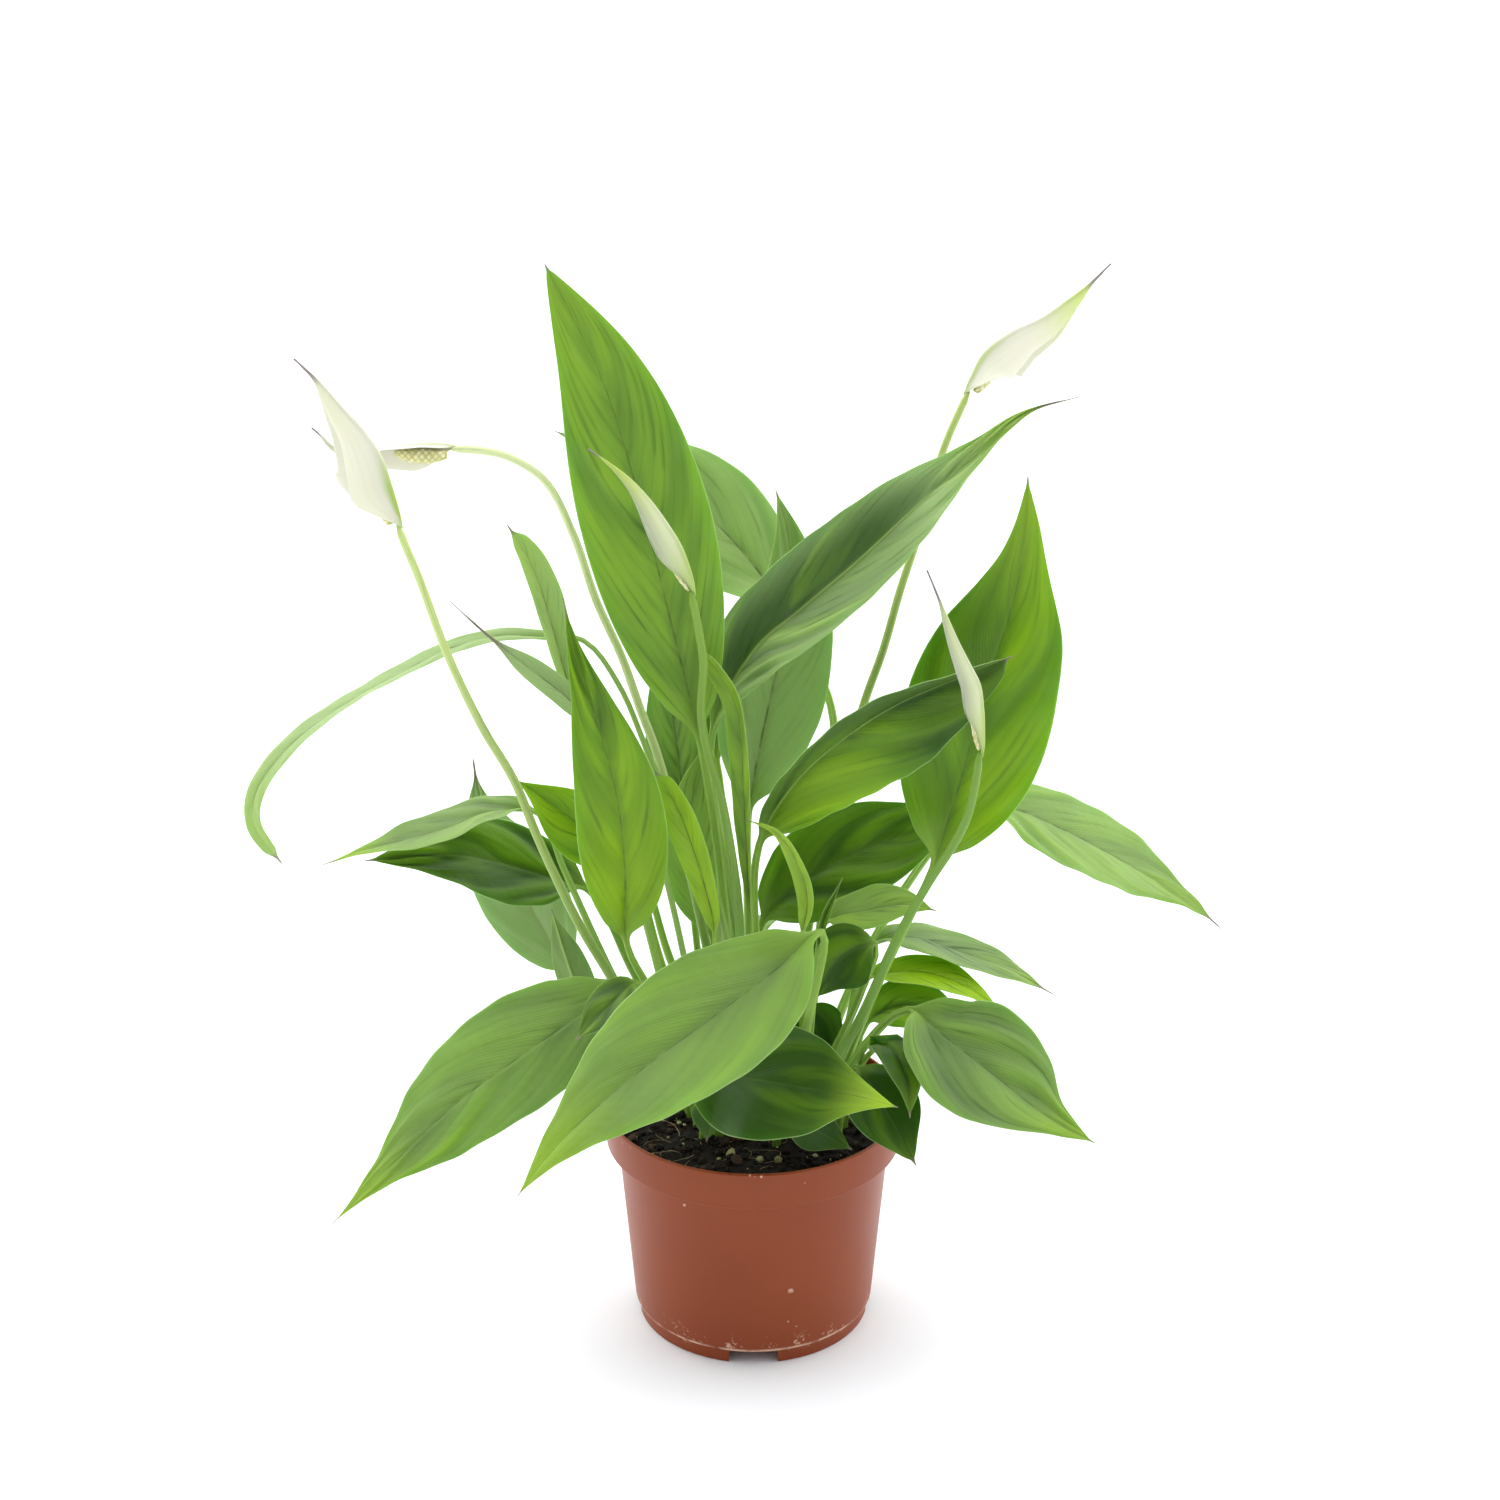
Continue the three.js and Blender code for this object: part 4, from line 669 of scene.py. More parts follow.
def makeLeafMaterial():
    # Living leaf tissue under a waxy skin. The wax gives the eye a soft broad sheen,
    # and the thin tissue lets light through, so that the green glows from behind.
    # Some light and shade is painted into the colour as well: a pale painted sheen, darker or
    # lighter halves, and painted shade beside and in the sunken veins, in the midrib's crease and
    # in the pleats' hollows, with painted light on their ridges.
    colours = {
        "deep": "#2a4e06", "fresh": "#66900c", "bright": "#95ba12",
        "veinShade": "#2b4d0c", "haze": "#93ab70", "underside": "#7c9a4c",
        "yellow": "#9fbf2e", "rib": "#9dbb62", "margin": "#b4cb90", "dry": "#877b70",
        "petiole": "#82a937", "petioleFoot": "#96ba5a",
    }
    made, add = newMaterial("livingLeaf")
    read = {}
    for name in ("vein", "across", "reach", "under", "stem", "tip", "dry", "green", "haze", "base",
                 "pleat", "lines", "ribWide", "midrib", "seed"):
        read[name] = add("Attribute", how=name, gives="Fac")
    size = add("Math", [read["across"]], "ABSOLUTE")

    # noise that follows the veins: x counts veins, y runs along each of them
    veinPlace = add("CombineXYZ", {"X": read["vein"], "Y": size, "Z": read["seed"]})
    veinShadePlace = add("VectorMath", [veinPlace, (1.2, 2.6, 1)], "MULTIPLY")
    veinShadeNoise = add("TexNoise", {"Vector": veinShadePlace, "Scale": 1, "Detail": 2})
    bandPlace = add("VectorMath", [veinPlace, (0.3, 0.9, 1)], "MULTIPLY")
    bandNoise = add("TexNoise", {"Vector": bandPlace, "Scale": 1, "Detail": 3})
    # painted shade beside and in the sunken veins: broken dark streaks beside each vein and a dark
    # line in it
    nearVein = add("Math", [read["vein"], 0.5], "PINGPONG")
    besideVein = add("MapRange", [nearVein, 0.42, 0.0, 0, 1], "SMOOTHSTEP")
    veinCreaseShade = add("MapRange", [nearVein, 0.09, 0.0, 0, 1], "SMOOTHSTEP")
    veinShadeSpot = add("MapRange", [veinShadeNoise, 0.46, 0.74, 0, 1], "SMOOTHSTEP")
    veinShade = add("Math", [veinShadeSpot, besideVein], "MULTIPLY")
    body = add("MapRange", [size, 1.0, 0.7, 0, 1], "SMOOTHSTEP")
    body = add("Math", [body, read["lines"]], "MULTIPLY")
    veinShade = add("Math", [veinShade, body], "MULTIPLY")
    veinCreaseShade = add("Math", [veinCreaseShade, read["lines"]], "MULTIPLY")

    # the green itself, from deep to fresh to bright
    band = add("MapRange", [bandNoise, 0.25, 0.75, -0.2, 0.2])
    # painted light and shade: lighter on the pleats' ridges, darker in their hollows
    band = add("Math", [read["pleat"], 0.2, band], "MULTIPLY_ADD")
    tone = add("Math", [read["green"], band], "ADD")
    low = add("MapRange", [tone, 0, 0.55, 0, 1])
    high = add("MapRange", [tone, 0.5, 1, 0, 1])
    layers = [  # colour, how much of it, and how strong at most
        ("fresh", low, 1.0), ("bright", high, 1.0), ("bright", read["base"], 0.85),
        ("haze", read["haze"], 0.8), ("veinShade", veinShade, 0.52), ("veinShade", veinCreaseShade, 0.14),
        ("underside", read["under"], 0.55), ("yellow", read["tip"], 0.9),
    ]
    colour = colours["deep"]
    for name, share, most in layers:
        share = add("Math", [share, most], "MULTIPLY", use_clamp=True)
        colour = add("Mix", [share, colour, colours[name]], "RGBA")

    # the midrib, sunk to a broken crease of painted shade or pale and raised, the pale line along
    # the margin, the petiole and the dry thread
    ribEdge = add("Math", [size, read["ribWide"]], "DIVIDE")
    onRib = add("MapRange", [ribEdge, 1.0, 0.25, 0, 1], "SMOOTHSTEP")
    ribShow = add("MapRange", [read["under"], 0, 1, 0.06, 0.75])
    ribShow = add("Math", [ribShow, read["midrib"]], "MAXIMUM")
    crease = add("MapRange", [ribEdge, 0.75, 0.15, 0, 0.75], "SMOOTHSTEP")
    creasePlace = add("CombineXYZ", {"X": read["reach"], "Y": read["seed"]})
    creaseNoise = add("TexNoise", {"Vector": creasePlace, "Scale": 0.16, "Detail": 2})
    creaseShow = add("MapRange", [creaseNoise, 0.35, 0.6, 0.15, 1])
    creaseShow = add("Math", [creaseShow, ribShow], "SUBTRACT", use_clamp=True)
    crease = add("Math", [crease, creaseShow], "MULTIPLY")
    onRib = add("Math", [onRib, ribShow], "MULTIPLY")
    onMargin = add("MapRange", [size, 0.975, 1.0, 0, 0.5], "SMOOTHSTEP")
    fibrePlace = add("CombineXYZ", {"X": read["across"], "Y": read["reach"], "Z": read["seed"]})
    fibrePlace = add("VectorMath", [fibrePlace, (5, 0.025, 1)], "MULTIPLY")
    fibreNoise = add("TexNoise", {"Vector": fibrePlace, "Scale": 1, "Detail": 3})
    petiole = add("Mix", [fibreNoise, colours["petiole"], colours["petioleFoot"]], "RGBA")
    petiole = add("Mix", [0.3, petiole, colour], "RGBA")
    for share, over in (
        (crease, colours["veinShade"]), (onRib, colours["rib"]), (onMargin, colours["margin"]),
        (read["stem"], petiole), (read["dry"], colours["dry"]),
    ):
        colour = add("Mix", [share, colour, over], "RGBA")

    # relief too fine for the mesh: the lesser veins, drawn 1.5 times as coarse as real, and
    # the skin's cells, drawn 1.1 mm wide, far coarser than real, so that they show
    lesser = add("Math", [read["vein"], 4], "MULTIPLY")
    lesser = add("Math", [lesser, 0.5], "PINGPONG")
    cellPlace = add("TexCoord", gives="Object")
    cells = add("TexNoise", {"Vector": cellPlace, "Scale": 900, "Detail": 2})
    height = add("MapRange", [lesser, 0, 0.3, 0, 0.5])
    height = add("Math", [cells, 0.35, height], "MULTIPLY_ADD")
    turned = add("MapRange", [read["under"], 0, 1, 1, -1])
    height = add("Math", [height, turned], "MULTIPLY")
    bump = add("Bump", {"Height": height, "Strength": 0.5, "Distance": 0.00012})

    rough = add("MapRange", [bandNoise, 0.3, 0.7, 0.34, 0.46])
    rough = add("Math", [read["under"], 0.12, rough], "MULTIPLY_ADD")
    rough = add("Math", [read["dry"], 0.3, rough], "MULTIPLY_ADD")
    shader = add("BsdfPrincipled", {
        "Base Color": colour, "Roughness": rough, "Normal": bump, "IOR": 1.42,
        "Specular IOR Level": 0.3, "Subsurface Weight": 0.3, "Subsurface Radius": (0.5, 1.0, 0.2),
        "Subsurface Scale": 0.0012,
    })
    add("OutputMaterial", [shader])
    return made


leafMaterial = makeLeafMaterial()
for index, (name, shape) in enumerate(leafShapes.items()):
    makeLeaf(name, shape, index)
print("leaves:", len(leafShapes))


# A flower's places are given as a leaf's are. Its claw is how wide the spathe's foot still is,
# as a share, closed is how far a bud's margins come together, and pale and yellow colour the
# stalk's top.
flowerShapes = {
    "left": {
        "root": (-30, 2), "stem": [(-38, 110, 0), (-56, 148, -2), (-68, 171, -2), (-77, 192, -2),
        (-84, 210, -3), (-92, 233, -4), (-103, 254, -6), (-115, 283, -10), (-125, 315, -14),
        (-131.5, 334, -16)], "spathe": [(-134.5, 350, -17), (-137, 361, -18), (-142.5, 371, -18),
        (-150, 380, -18), (-158, 390, -18), (-167, 399, -18)], "width": 44, "claw": 0.34,
        "face": (-1, -0.35, -0.2), "fold": 57, "spadixLong": 28, "spadixRadius": 2.4, "green": 0.9,
        "tip": 0.1, "dry": 9, "pale": 0.4, "yellow": 1.1,
    },
    "drooping": {
        "root": (-9, 20), "stem": [(-20, 170, 22), (-37, 244, 22), (-43, 262, 22), (-50, 284, 22),
        (-59, 306, 24), (-67, 332, 25), (-77, 353, 25), (-90, 362, 24), (-100, 364.5, 23),
        (-109, 365, 22)], "spathe": [(-120, 366, 22), (-130, 366, 22), (-140, 364.5, 22),
        (-152, 365, 22), (-162, 373, 22)], "width": 22, "claw": 0.4, "face": (0, -0.75, -0.65),
        "fold": 40, "spadixLong": 20, "spadixRadius": 2.6, "green": 0.5, "tip": 0.1, "dry": 3,
        "pale": 0.8, "yellow": 1.1,
    },
    "center_bud": {
        "root": (-4, -10), "stem": [(-5, 150, -8), (-6, 180, -7), (-9, 205, -7), (-13, 228, -7),
        (-18, 247, -6), (-20, 262, -6), (-19, 280, -6), (-21, 296, -6), (-23, 307, -6)],
        "spathe": [(-25, 318, -6), (-28, 328, -6), (-33, 337, -5), (-40, 347, -4), (-47, 354.5, -3),
        (-61, 365, -2)], "width": 23.4, "widest": 0.3, "swell": 0.9, "claw": 0.24,
        "face": (-0.9, -0.4, -0.2), "fold": 57, "closed": 0.75, "spadixLong": 20,
        "spadixRadius": 0.7, "green": 0.6, "tip": 0.9, "dry": 4, "pale": 0, "yellow": 0.3,
    },
    "right_bud": {
        "root": (22, -24), "stem": [(34, 111, -26), (44, 134, -27), (57, 167, -28), (69, 191, -28),
        (76, 203, -28), (82, 216, -28), (85, 230, -28), (86.2, 242, -28)],
        "spathe": [(86.6, 252, -28), (86.5, 262, -28), (85.3, 272, -28), (81.5, 280, -28),
        (77, 289, -28), (73, 298, -28), (64.5, 318, -28)], "width": 18.2, "widest": 0.3,
        "swell": 0.9, "claw": 0.3, "face": (-1, -0.4, 0), "fold": 57, "closed": 0.75,
        "spadixLong": 20, "spadixRadius": 0.7, "green": 0.8, "tip": 0.3, "dry": 12, "pale": 0,
        "yellow": 0.2,
    },
    "right": {
        "root": (20, 24), "stem": [(30, 200, 44), (41, 261, 50), (49, 287, 53), (55, 311, 55),
        (60, 328, 57), (70, 366, 60), (77.5, 385, 60)], "spathe": [(80, 391, 60), (84, 400.5, 60),
        (93, 408.5, 60), (104, 414, 60), (113, 420.5, 60), (120, 426, 60), (128, 434, 60)],
        "width": 38, "claw": 0.25, "face": (0.65, -0.35, -0.6), "fold": 60, "spadixLong": 26,
        "spadixRadius": 2.3, "green": 0.6, "tip": 0.8, "dry": 10, "pale": 0.28, "yellow": 0.9,
    },
}
flowerMake = {
    "stalkFoot": 2,
    "stalkTop": 1.5,
    "stalkOverlap": 2.2,  # mm that a stalk runs on inside the spathe's foot
    "outline": {"widest": 0.25, "swell": 0.6, "tail": 0},
    "setback": 1.0,
    "arch": 0.05,
    "rowSpacing": 0.8,
    "halfColumns": 14,
    "thickness": 0.5,
    "marginThickness": 0.24,
    "threadHalf": 0.5,
    "tipHalf": 0.22,
    "ridge": 0.06,  # mm, the lengthwise veins
    "ruffle": 0.25,  # mm, the margin's waves
    "ruffles": 2.6,
    "spadixStart": 3,  # mm up from the spathe's foot
    "spadixRows": 96,
    "spadixSides": 60,
    "floretRise": 0.35,
    "floretLong": 2.6,  # mm from one row of florets to the next
    "floretsRound": 5,
    "wall": 0.7,  # the CAD spathe's thickness, which the spadix clears
}


def flowerLine(shape):  # its growth line, where the stalk ends, and where the spathe looks
    line = growthLine(shape["root"], shape["stem"], shape["spathe"])
    top = line["knots"][1 + len(shape["stem"])]
    return line, top, np.array(shape["face"]) / np.linalg.norm(shape["face"])


def spatheFrames(shape):  # the spathe's length, and its frames at any t along it
    line, top, face = flowerLine(shape)
    length = line["reached"][-1] - top - plantMake["clearance"]

    def at(t):
        distances = top + plantMake["clearance"] + t * length
        return framesFacing(line, distances, np.broadcast_to(face, (len(t), 3)))

    return length, at


def spatheFold(shape, t):
    return np.radians(mix(plantMake["petioleFold"], shape["fold"], smooth(t, 0, 0.25)))


def makeStalk(name, shape, index):
    make = flowerMake
    line, top, face = flowerLine(shape)
    end = top + make["stalkOverlap"]
    rows = np.linspace(line["ground"], end, round((end - line["ground"]) / 4))[1:]
    frames = framesStanding(line, rows, face)
    share = np.concatenate([[0, 0], (rows - line["ground"]) / (top - line["ground"])])
    radius = mix(make["stalkFoot"], make["stalkTop"], np.clip(share, 0, 1))
    radius = radius * mix(1, 0.45, smooth(share, 1, end / top))
    v = np.linspace(-1, 1, 9)
    points = placed(frames, *roundSection(v, radius))
    piece = addPiece(
        pieceName("stalk_" + name), points.reshape(-1, 3), skinFaces(len(points), len(v)),
        stalkMaterial, ["stalk_" + name],
    )
    full = lambda values: np.broadcast_to(values, (len(points), 2, len(v)))
    angle = np.stack([0.4 * v, 1 - 0.4 * v]) / 2  # once round the stalk, as a share
    paint(
        piece, around=full(angle[None]), share=full(shape["yellow"] * share[:, None, None]),
        reach=full((share * (top - line["ground"]))[:, None, None]),
        seed=full(np.array(index * 3.7)),
        pale=full(shape["pale"] * smooth(share, 0.1, 0.9)[:, None, None]),
    )


def makeSpathe(name, shape, index):
    make = flowerMake
    length, at = spatheFrames(shape)
    rows = round(length / make["rowSpacing"])
    t = np.linspace(0, 1, rows)
    v = columnShares(make["halfColumns"])
    places, sides, ups = at(t)
    setback = make["setback"] * (1 - smooth(t, 0, 0.4))
    places = places - ups * setback[:, None]
    left = (1 - t) * length
    form = outline(t, {**make["outline"], **shape})
    half = shape["width"] / 2 * np.maximum(form, shape["claw"] - 2 * t)
    half = half * smooth(t, -0.03, 0.3) ** 0.6
    thread = smooth(left, 0.5 * shape["dry"], 1.5 * shape["dry"] + 3)
    half = mix(np.minimum(half, make["threadHalf"]), half, thread)
    half = np.maximum(half, make["tipHalf"])
    size = np.abs(v)
    body = smooth(t, 0.02, 0.15) * (1 - smooth(t, 0.8, 0.97))
    relief = make["ridge"] * np.cos(2 * math.pi * v * 5.5)[None, :] * smooth(size, 0.05, 0.3)
    ruffle = np.sin(2 * math.pi * t[:, None] * make["ruffles"] + np.sign(v) + index)
    relief = relief + make["ruffle"] * ruffle * size ** 2
    relief = relief * body[:, None] * mix(1, 0.3, "closed" in shape)
    thick = mix(make["thickness"], make["marginThickness"], size ** 4)[None, :] / 2
    thick = thick * mix(0.4, 1, smooth(t, 0, 0.06))[:, None]
    rib = 0.3 + 0.6 * (1 - t) ** 1.5 * smooth(t, -0.06, 0.1)
    wides, highs = bladeSection(v, half, spatheFold(shape, t), make["arch"], relief, thick, rib)
    wides = wides * (1 - shape.get("closed", 0) * v ** 2)  # a bud's margins meet
    points = placed((places, sides, ups), wides, highs)
    piece = addPiece(
        pieceName("spathe_" + name), points.reshape(-1, 3), skinFaces(rows, len(v)),
        spatheMaterial, ["spathe_" + name],
    )
    full = lambda values: np.broadcast_to(values, (rows, 2, len(v)))
    row = lambda values: full(values[:, None, None])
    base = 0.6 - 0.6 * smooth(t, 0, 0.08)  # how yellow-green it still is
    if "closed" in shape:
        base = 0.4 - 0.1 * t + 0.45 * (1 - smooth(t, 0, 0.35))
    paint(
        piece, along=row(t), across=full(v), under=full(np.array([0, 1])[None, :, None]),
        green=row(shape["green"] * (1 - smooth(t, 0.15, 0.5))), base=row(base),
        tip=row(shape["tip"] * smooth(t, 0.45, 0.85)), seed=full(np.array(index * 5.3)),
        dry=row(1 - smooth(left, 0.8 * shape["dry"], 1.4 * shape["dry"] + 1)),
    )


def makeSpadix(name, shape):
    # A club in the spathe's fold, covered with florets in a staggered net.
    make = flowerMake
    length, at = spatheFrames(shape)
    long, radius = shape["spadixLong"], shape["spadixRadius"]
    k = np.linspace(0, 1, make["spadixRows"])
    t = (long * k + make["spadixStart"]) / length
    girth = radius * np.sin(math.pi * mix(0.13, 0.93, k)) ** 0.6
    clear = girth + make["floretRise"] + make["wall"] / 2 + plantMake["clearance"]
    clear = clear / np.cos(spatheFold(shape, t))
    if "closed" in shape:  # in a bud it lies where the roll is widest
        clear = 0.5 * shape["width"] / 2 * outline(t, {**make["outline"], **shape})
    rise = clear - make["setback"] * (1 - smooth(t, 0, 0.4))
    places, sides, ups = at(t)
    turn = np.linspace(0, 2 * math.pi, make["spadixSides"], endpoint=False)
    up = k[:, None] * long / make["floretLong"]
    around = turn[None, :] * make["floretsRound"] / (2 * math.pi)
    lattice = np.cos(math.pi * (up + around)) * np.cos(math.pi * (up - around))
    uneven = 0.75 + 0.25 * np.sin(3.1 * up + 2 * around) * np.cos(1.7 * up - 1.3 * around)
    floret = np.abs(lattice) ** 0.6 * uneven
    floret = floret * (smooth(k, 0, 0.06) * (1 - smooth(k, 0.94, 1)))[:, None]
    reach = girth[:, None] + make["floretRise"] * (floret - 0.15)
    centre = places + ups * rise[:, None]
    points = centre[:, None] + reach[..., None] * (
        np.cos(turn)[None, :, None] * sides[:, None] + np.sin(turn)[None, :, None] * ups[:, None]
    )
    sides, last = len(turn), (len(k) - 1) * len(turn)
    faces = ringFaces(len(k), sides, downwards=True) + [
        tuple(range(sides)), tuple(range(last + sides - 1, last - 1, -1)),
    ]
    node = "spadix_" + name
    piece = addPiece(
        pieceName(node), points.reshape(-1, 3), faces, spadixMaterial, [node],
    )
    paint(piece, floret=floret)


def makeStalkMaterial():
    # A smooth, slightly waxy flower stalk: yellow-green, paler towards the flower,
    # with faint lengthwise fibres that the eye takes as a fine grain.
    colours = {"foot": "#6a9232", "top": "#a6bf44", "pale": "#dfe6b8", "fibre": "#557f22"}
    made, add = newMaterial("livingStalk")
    around, share, reach, seed, pale = (
        add("Attribute", how=name, gives="Fac")
        for name in ("around", "share", "reach", "seed", "pale")
    )
    place = add("CombineXYZ", {"X": around, "Y": reach, "Z": seed})
    place = add("VectorMath", [place, (12, 0.03, 1)], "MULTIPLY")
    fibre = add("TexNoise", {"Vector": place, "Scale": 1, "Detail": 3})
    climb = add("MapRange", [share, 0.1, 1, 0, 1])
    colour = add("Mix", [climb, colours["foot"], colours["top"]], "RGBA")
    colour = add("Mix", [pale, colour, colours["pale"]], "RGBA")
    dark = add("MapRange", [fibre, 0.5, 0.8, 0, 0.55])
    colour = add("Mix", [dark, colour, colours["fibre"]], "RGBA")
    bump = add("Bump", {"Height": fibre, "Strength": 0.4, "Distance": 0.0002})
    rough = add("MapRange", [fibre, 0.3, 0.7, 0.36, 0.48])
    shader = add("BsdfPrincipled", {
        "Base Color": colour, "Roughness": rough, "Normal": bump, "IOR": 1.42,
        "Subsurface Weight": 0.25, "Subsurface Radius": (0.6, 1.0, 0.25),
        "Subsurface Scale": 0.0015,
    })
    add("OutputMaterial", [shader])
    return made


def makeSpatheMaterial():
    # A spathe is a thin white leaf with air between its cells: soft, matt and faintly
    # see-through, with green left along the midrib, outside, and at its drawn-out tip.
    colours = {
        "inside": "#c7c6b9", "outside": "#c9c9b8", "vein": "#b9bd9c", "rib": "#93b030",
        "base": "#a3bd55", "tip": "#a9bf4e", "dry": "#857d78",
    }
    made, add = newMaterial("spatheTissue")
    read = {}
    for name in ("along", "across", "under", "green", "tip", "dry", "base", "seed"):
        read[name] = add("Attribute", how=name, gives="Fac")
    size = add("Math", [read["across"]], "ABSOLUTE")
    place = add("CombineXYZ", {"X": read["across"], "Y": read["along"], "Z": read["seed"]})
    place = add("VectorMath", [place, (9, 1.2, 1)], "MULTIPLY")
    veins = add("TexNoise", {"Vector": place, "Scale": 1, "Detail": 3})
    colour = add("Mix", [read["under"], colours["inside"], colours["outside"]], "RGBA")
    veinShow = add("MapRange", [veins, 0.48, 0.75, 0, 0.4])
    ribWide = add("MapRange", [read["along"], 0, 0.9, 0.2, 0.07])
    onRib = add("Math", [size, ribWide], "DIVIDE")
    onRib = add("MapRange", [onRib, 1.6, 0.3, 0, 1], "SMOOTHSTEP")
    ribShow = add("MapRange", [read["under"], 0, 1, 0.25, 1])
    onRib = add("Math", [onRib, ribShow], "MULTIPLY")
    onRib = add("Math", [onRib, read["green"]], "MULTIPLY", use_clamp=True)
    for share, name in (
        (veinShow, "vein"), (onRib, "rib"), (read["base"], "base"), (read["tip"], "tip"),
        (read["dry"], "dry"),
    ):
        colour = add("Mix", [share, colour, colours[name]], "RGBA")
    bump = add("Bump", {"Height": veins, "Strength": 0.5, "Distance": 0.0003})
    rough = add("MapRange", [veins, 0.3, 0.7, 0.46, 0.58])
    shader = add("BsdfPrincipled", {
        "Base Color": colour, "Roughness": rough, "Normal": bump, "IOR": 1.4,
        "Subsurface Weight": 0.4, "Subsurface Radius": (1.0, 0.95, 0.8), "Subsurface Scale": 0.0015,
    })
    add("OutputMaterial", [shader])
    return made


def makeSpadixMaterial():
    # Packed florets: cream to yellow-green knobs with darker green in the joins
    # between them, which the eye reads as a fine bumpy net.
    colours = {"join": "#bdb976", "floret": "#ddd9a6", "cap": "#f3efd2"}
    made, add = newMaterial("spadixFlorets")
    floret = add("Attribute", how="floret", gives="Fac")
    place = add("TexCoord", gives="Object")
    # a 0.7 mm grain, coarser than the real one so that it shows, and 3 mm patches, a floret each
    grain = add("TexNoise", {"Vector": place, "Scale": 1400, "Detail": 2})
    patch = add("TexNoise", {"Vector": place, "Scale": 330, "Detail": 1})
    rise = add("MapRange", [floret, 0.15, 0.75, 0, 1])
    colour = add("Mix", [rise, colours["join"], colours["floret"]], "RGBA")
    cap = add("MapRange", [patch, 0.4, 0.65, 0, 0.8])
    cap = add("Math", [cap, rise], "MULTIPLY")
    colour = add("Mix", [cap, colour, colours["cap"]], "RGBA")
    bump = add("Bump", {"Height": grain, "Strength": 0.6, "Distance": 0.0002})
    shader = add("BsdfPrincipled", {
        "Base Color": colour, "Roughness": 0.75, "Normal": bump, "IOR": 1.42,
        "Subsurface Weight": 0.2, "Subsurface Radius": (1.0, 0.9, 0.4), "Subsurface Scale": 0.001,
    })
    add("OutputMaterial", [shader])
    return made


stalkMaterial = makeStalkMaterial()
spatheMaterial = makeSpatheMaterial()
spadixMaterial = makeSpadixMaterial()
for index, (name, shape) in enumerate(flowerShapes.items()):
    makeStalk(name, shape, index)
    makeSpathe(name, shape, index)
    makeSpadix(name, shape)
print("flowers:", len(flowerShapes))


potMake = {
    "height": 94,
    "rimRadius": 60,
    "collarHeight": 16.5,
    "collarStep": 4.6,
    "collarTaper": 0.8,
    "wall": 1.3,
    "bodyFootRadius": 48.4,
    "footHeight": 5.5,
    "footRadius": 46.8,
    "footWall": 2.2,
    "notchWidth": 19.8,
    "notchDraft": 0.3,  # how far each side of a notch leans in by its top
    "notches": 4,
    "drainHoles": 6,
    "drainRadius": 4,
    "drainCircle": 30,
    "sides": 180,
    # where the mould or a knock left a pale nick: its place and half width, mm
    "nicks": [
        (-27.1, -46.9, 72.9, 0.7), (19.8, -56.5, 88.5, 0.7), (14.8, -49, 35.1, 1.3),
        (13.7, -48, 20.1, 0.6), (17.3, -46.6, 16.8, 0.7), (-38.7, -37.8, 71.9, 0.4),
        (-1.4, -59.8, 93.9, 0.5), (0.4, -59.9, 93.3, 0.3), (3, -59.9, 93.2, 0.5),
        (-51.6, -30.5, 91.1, 0.4), (-48.3, -35.5, 91.8, 0.4),
    ],
}


collarFoot = potMake["height"] - potMake["collarHeight"]
bodyTop = potMake["rimRadius"] - potMake["collarTaper"] - potMake["collarStep"]


def roundedProfile(corners):
    # Corners are (radius, height, rounding): each is turned into a short arc.
    profile = []
    for i, (r, z, rounding) in enumerate(corners):
        here = np.array([r, z], dtype=float)
        if rounding == 0 or i in (0, len(corners) - 1):
            profile.append(here)
            continue
        before = np.array(corners[i - 1][:2]) - here
        after = np.array(corners[i + 1][:2]) - here
        reach = min(rounding, 0.45 * np.linalg.norm(before), 0.45 * np.linalg.norm(after))
        start = here + before / np.linalg.norm(before) * reach
        end = here + after / np.linalg.norm(after) * reach
        for w in np.linspace(0, 1, 6):
            profile.append((1 - w) ** 2 * start + 2 * w * (1 - w) * here + w ** 2 * end)
    return profile


def turnProfile(profile, sides):
    # A closed solid of revolution from a profile that starts and ends on the axis.
    inner = profile[1:-1]
    turn = np.linspace(0, 2 * math.pi, sides, endpoint=False)
    places = [(r * math.cos(a), r * math.sin(a), z) for r, z in inner for a in turn]
    faces = ringFaces(len(inner), sides)
    low, high = len(places), len(places) + 1
    places += [(0, 0, profile[0][1]), (0, 0, profile[-1][1])]
    top = (len(inner) - 1) * sides
    for j in range(sides):
        n = (j + 1) % sides
        faces.append((low, n, j))
        faces.append((high, top + j, top + n))
    return places, faces


def makeCutter(places, faces):
    mesh = bpy.data.meshes.new("cutter")
    mesh.from_pydata((np.asarray(places) * mm).tolist(), [], faces)
    cutter = bpy.data.objects.new("cutter", mesh)
    bpy.context.scene.collection.objects.link(cutter)
    return cutter


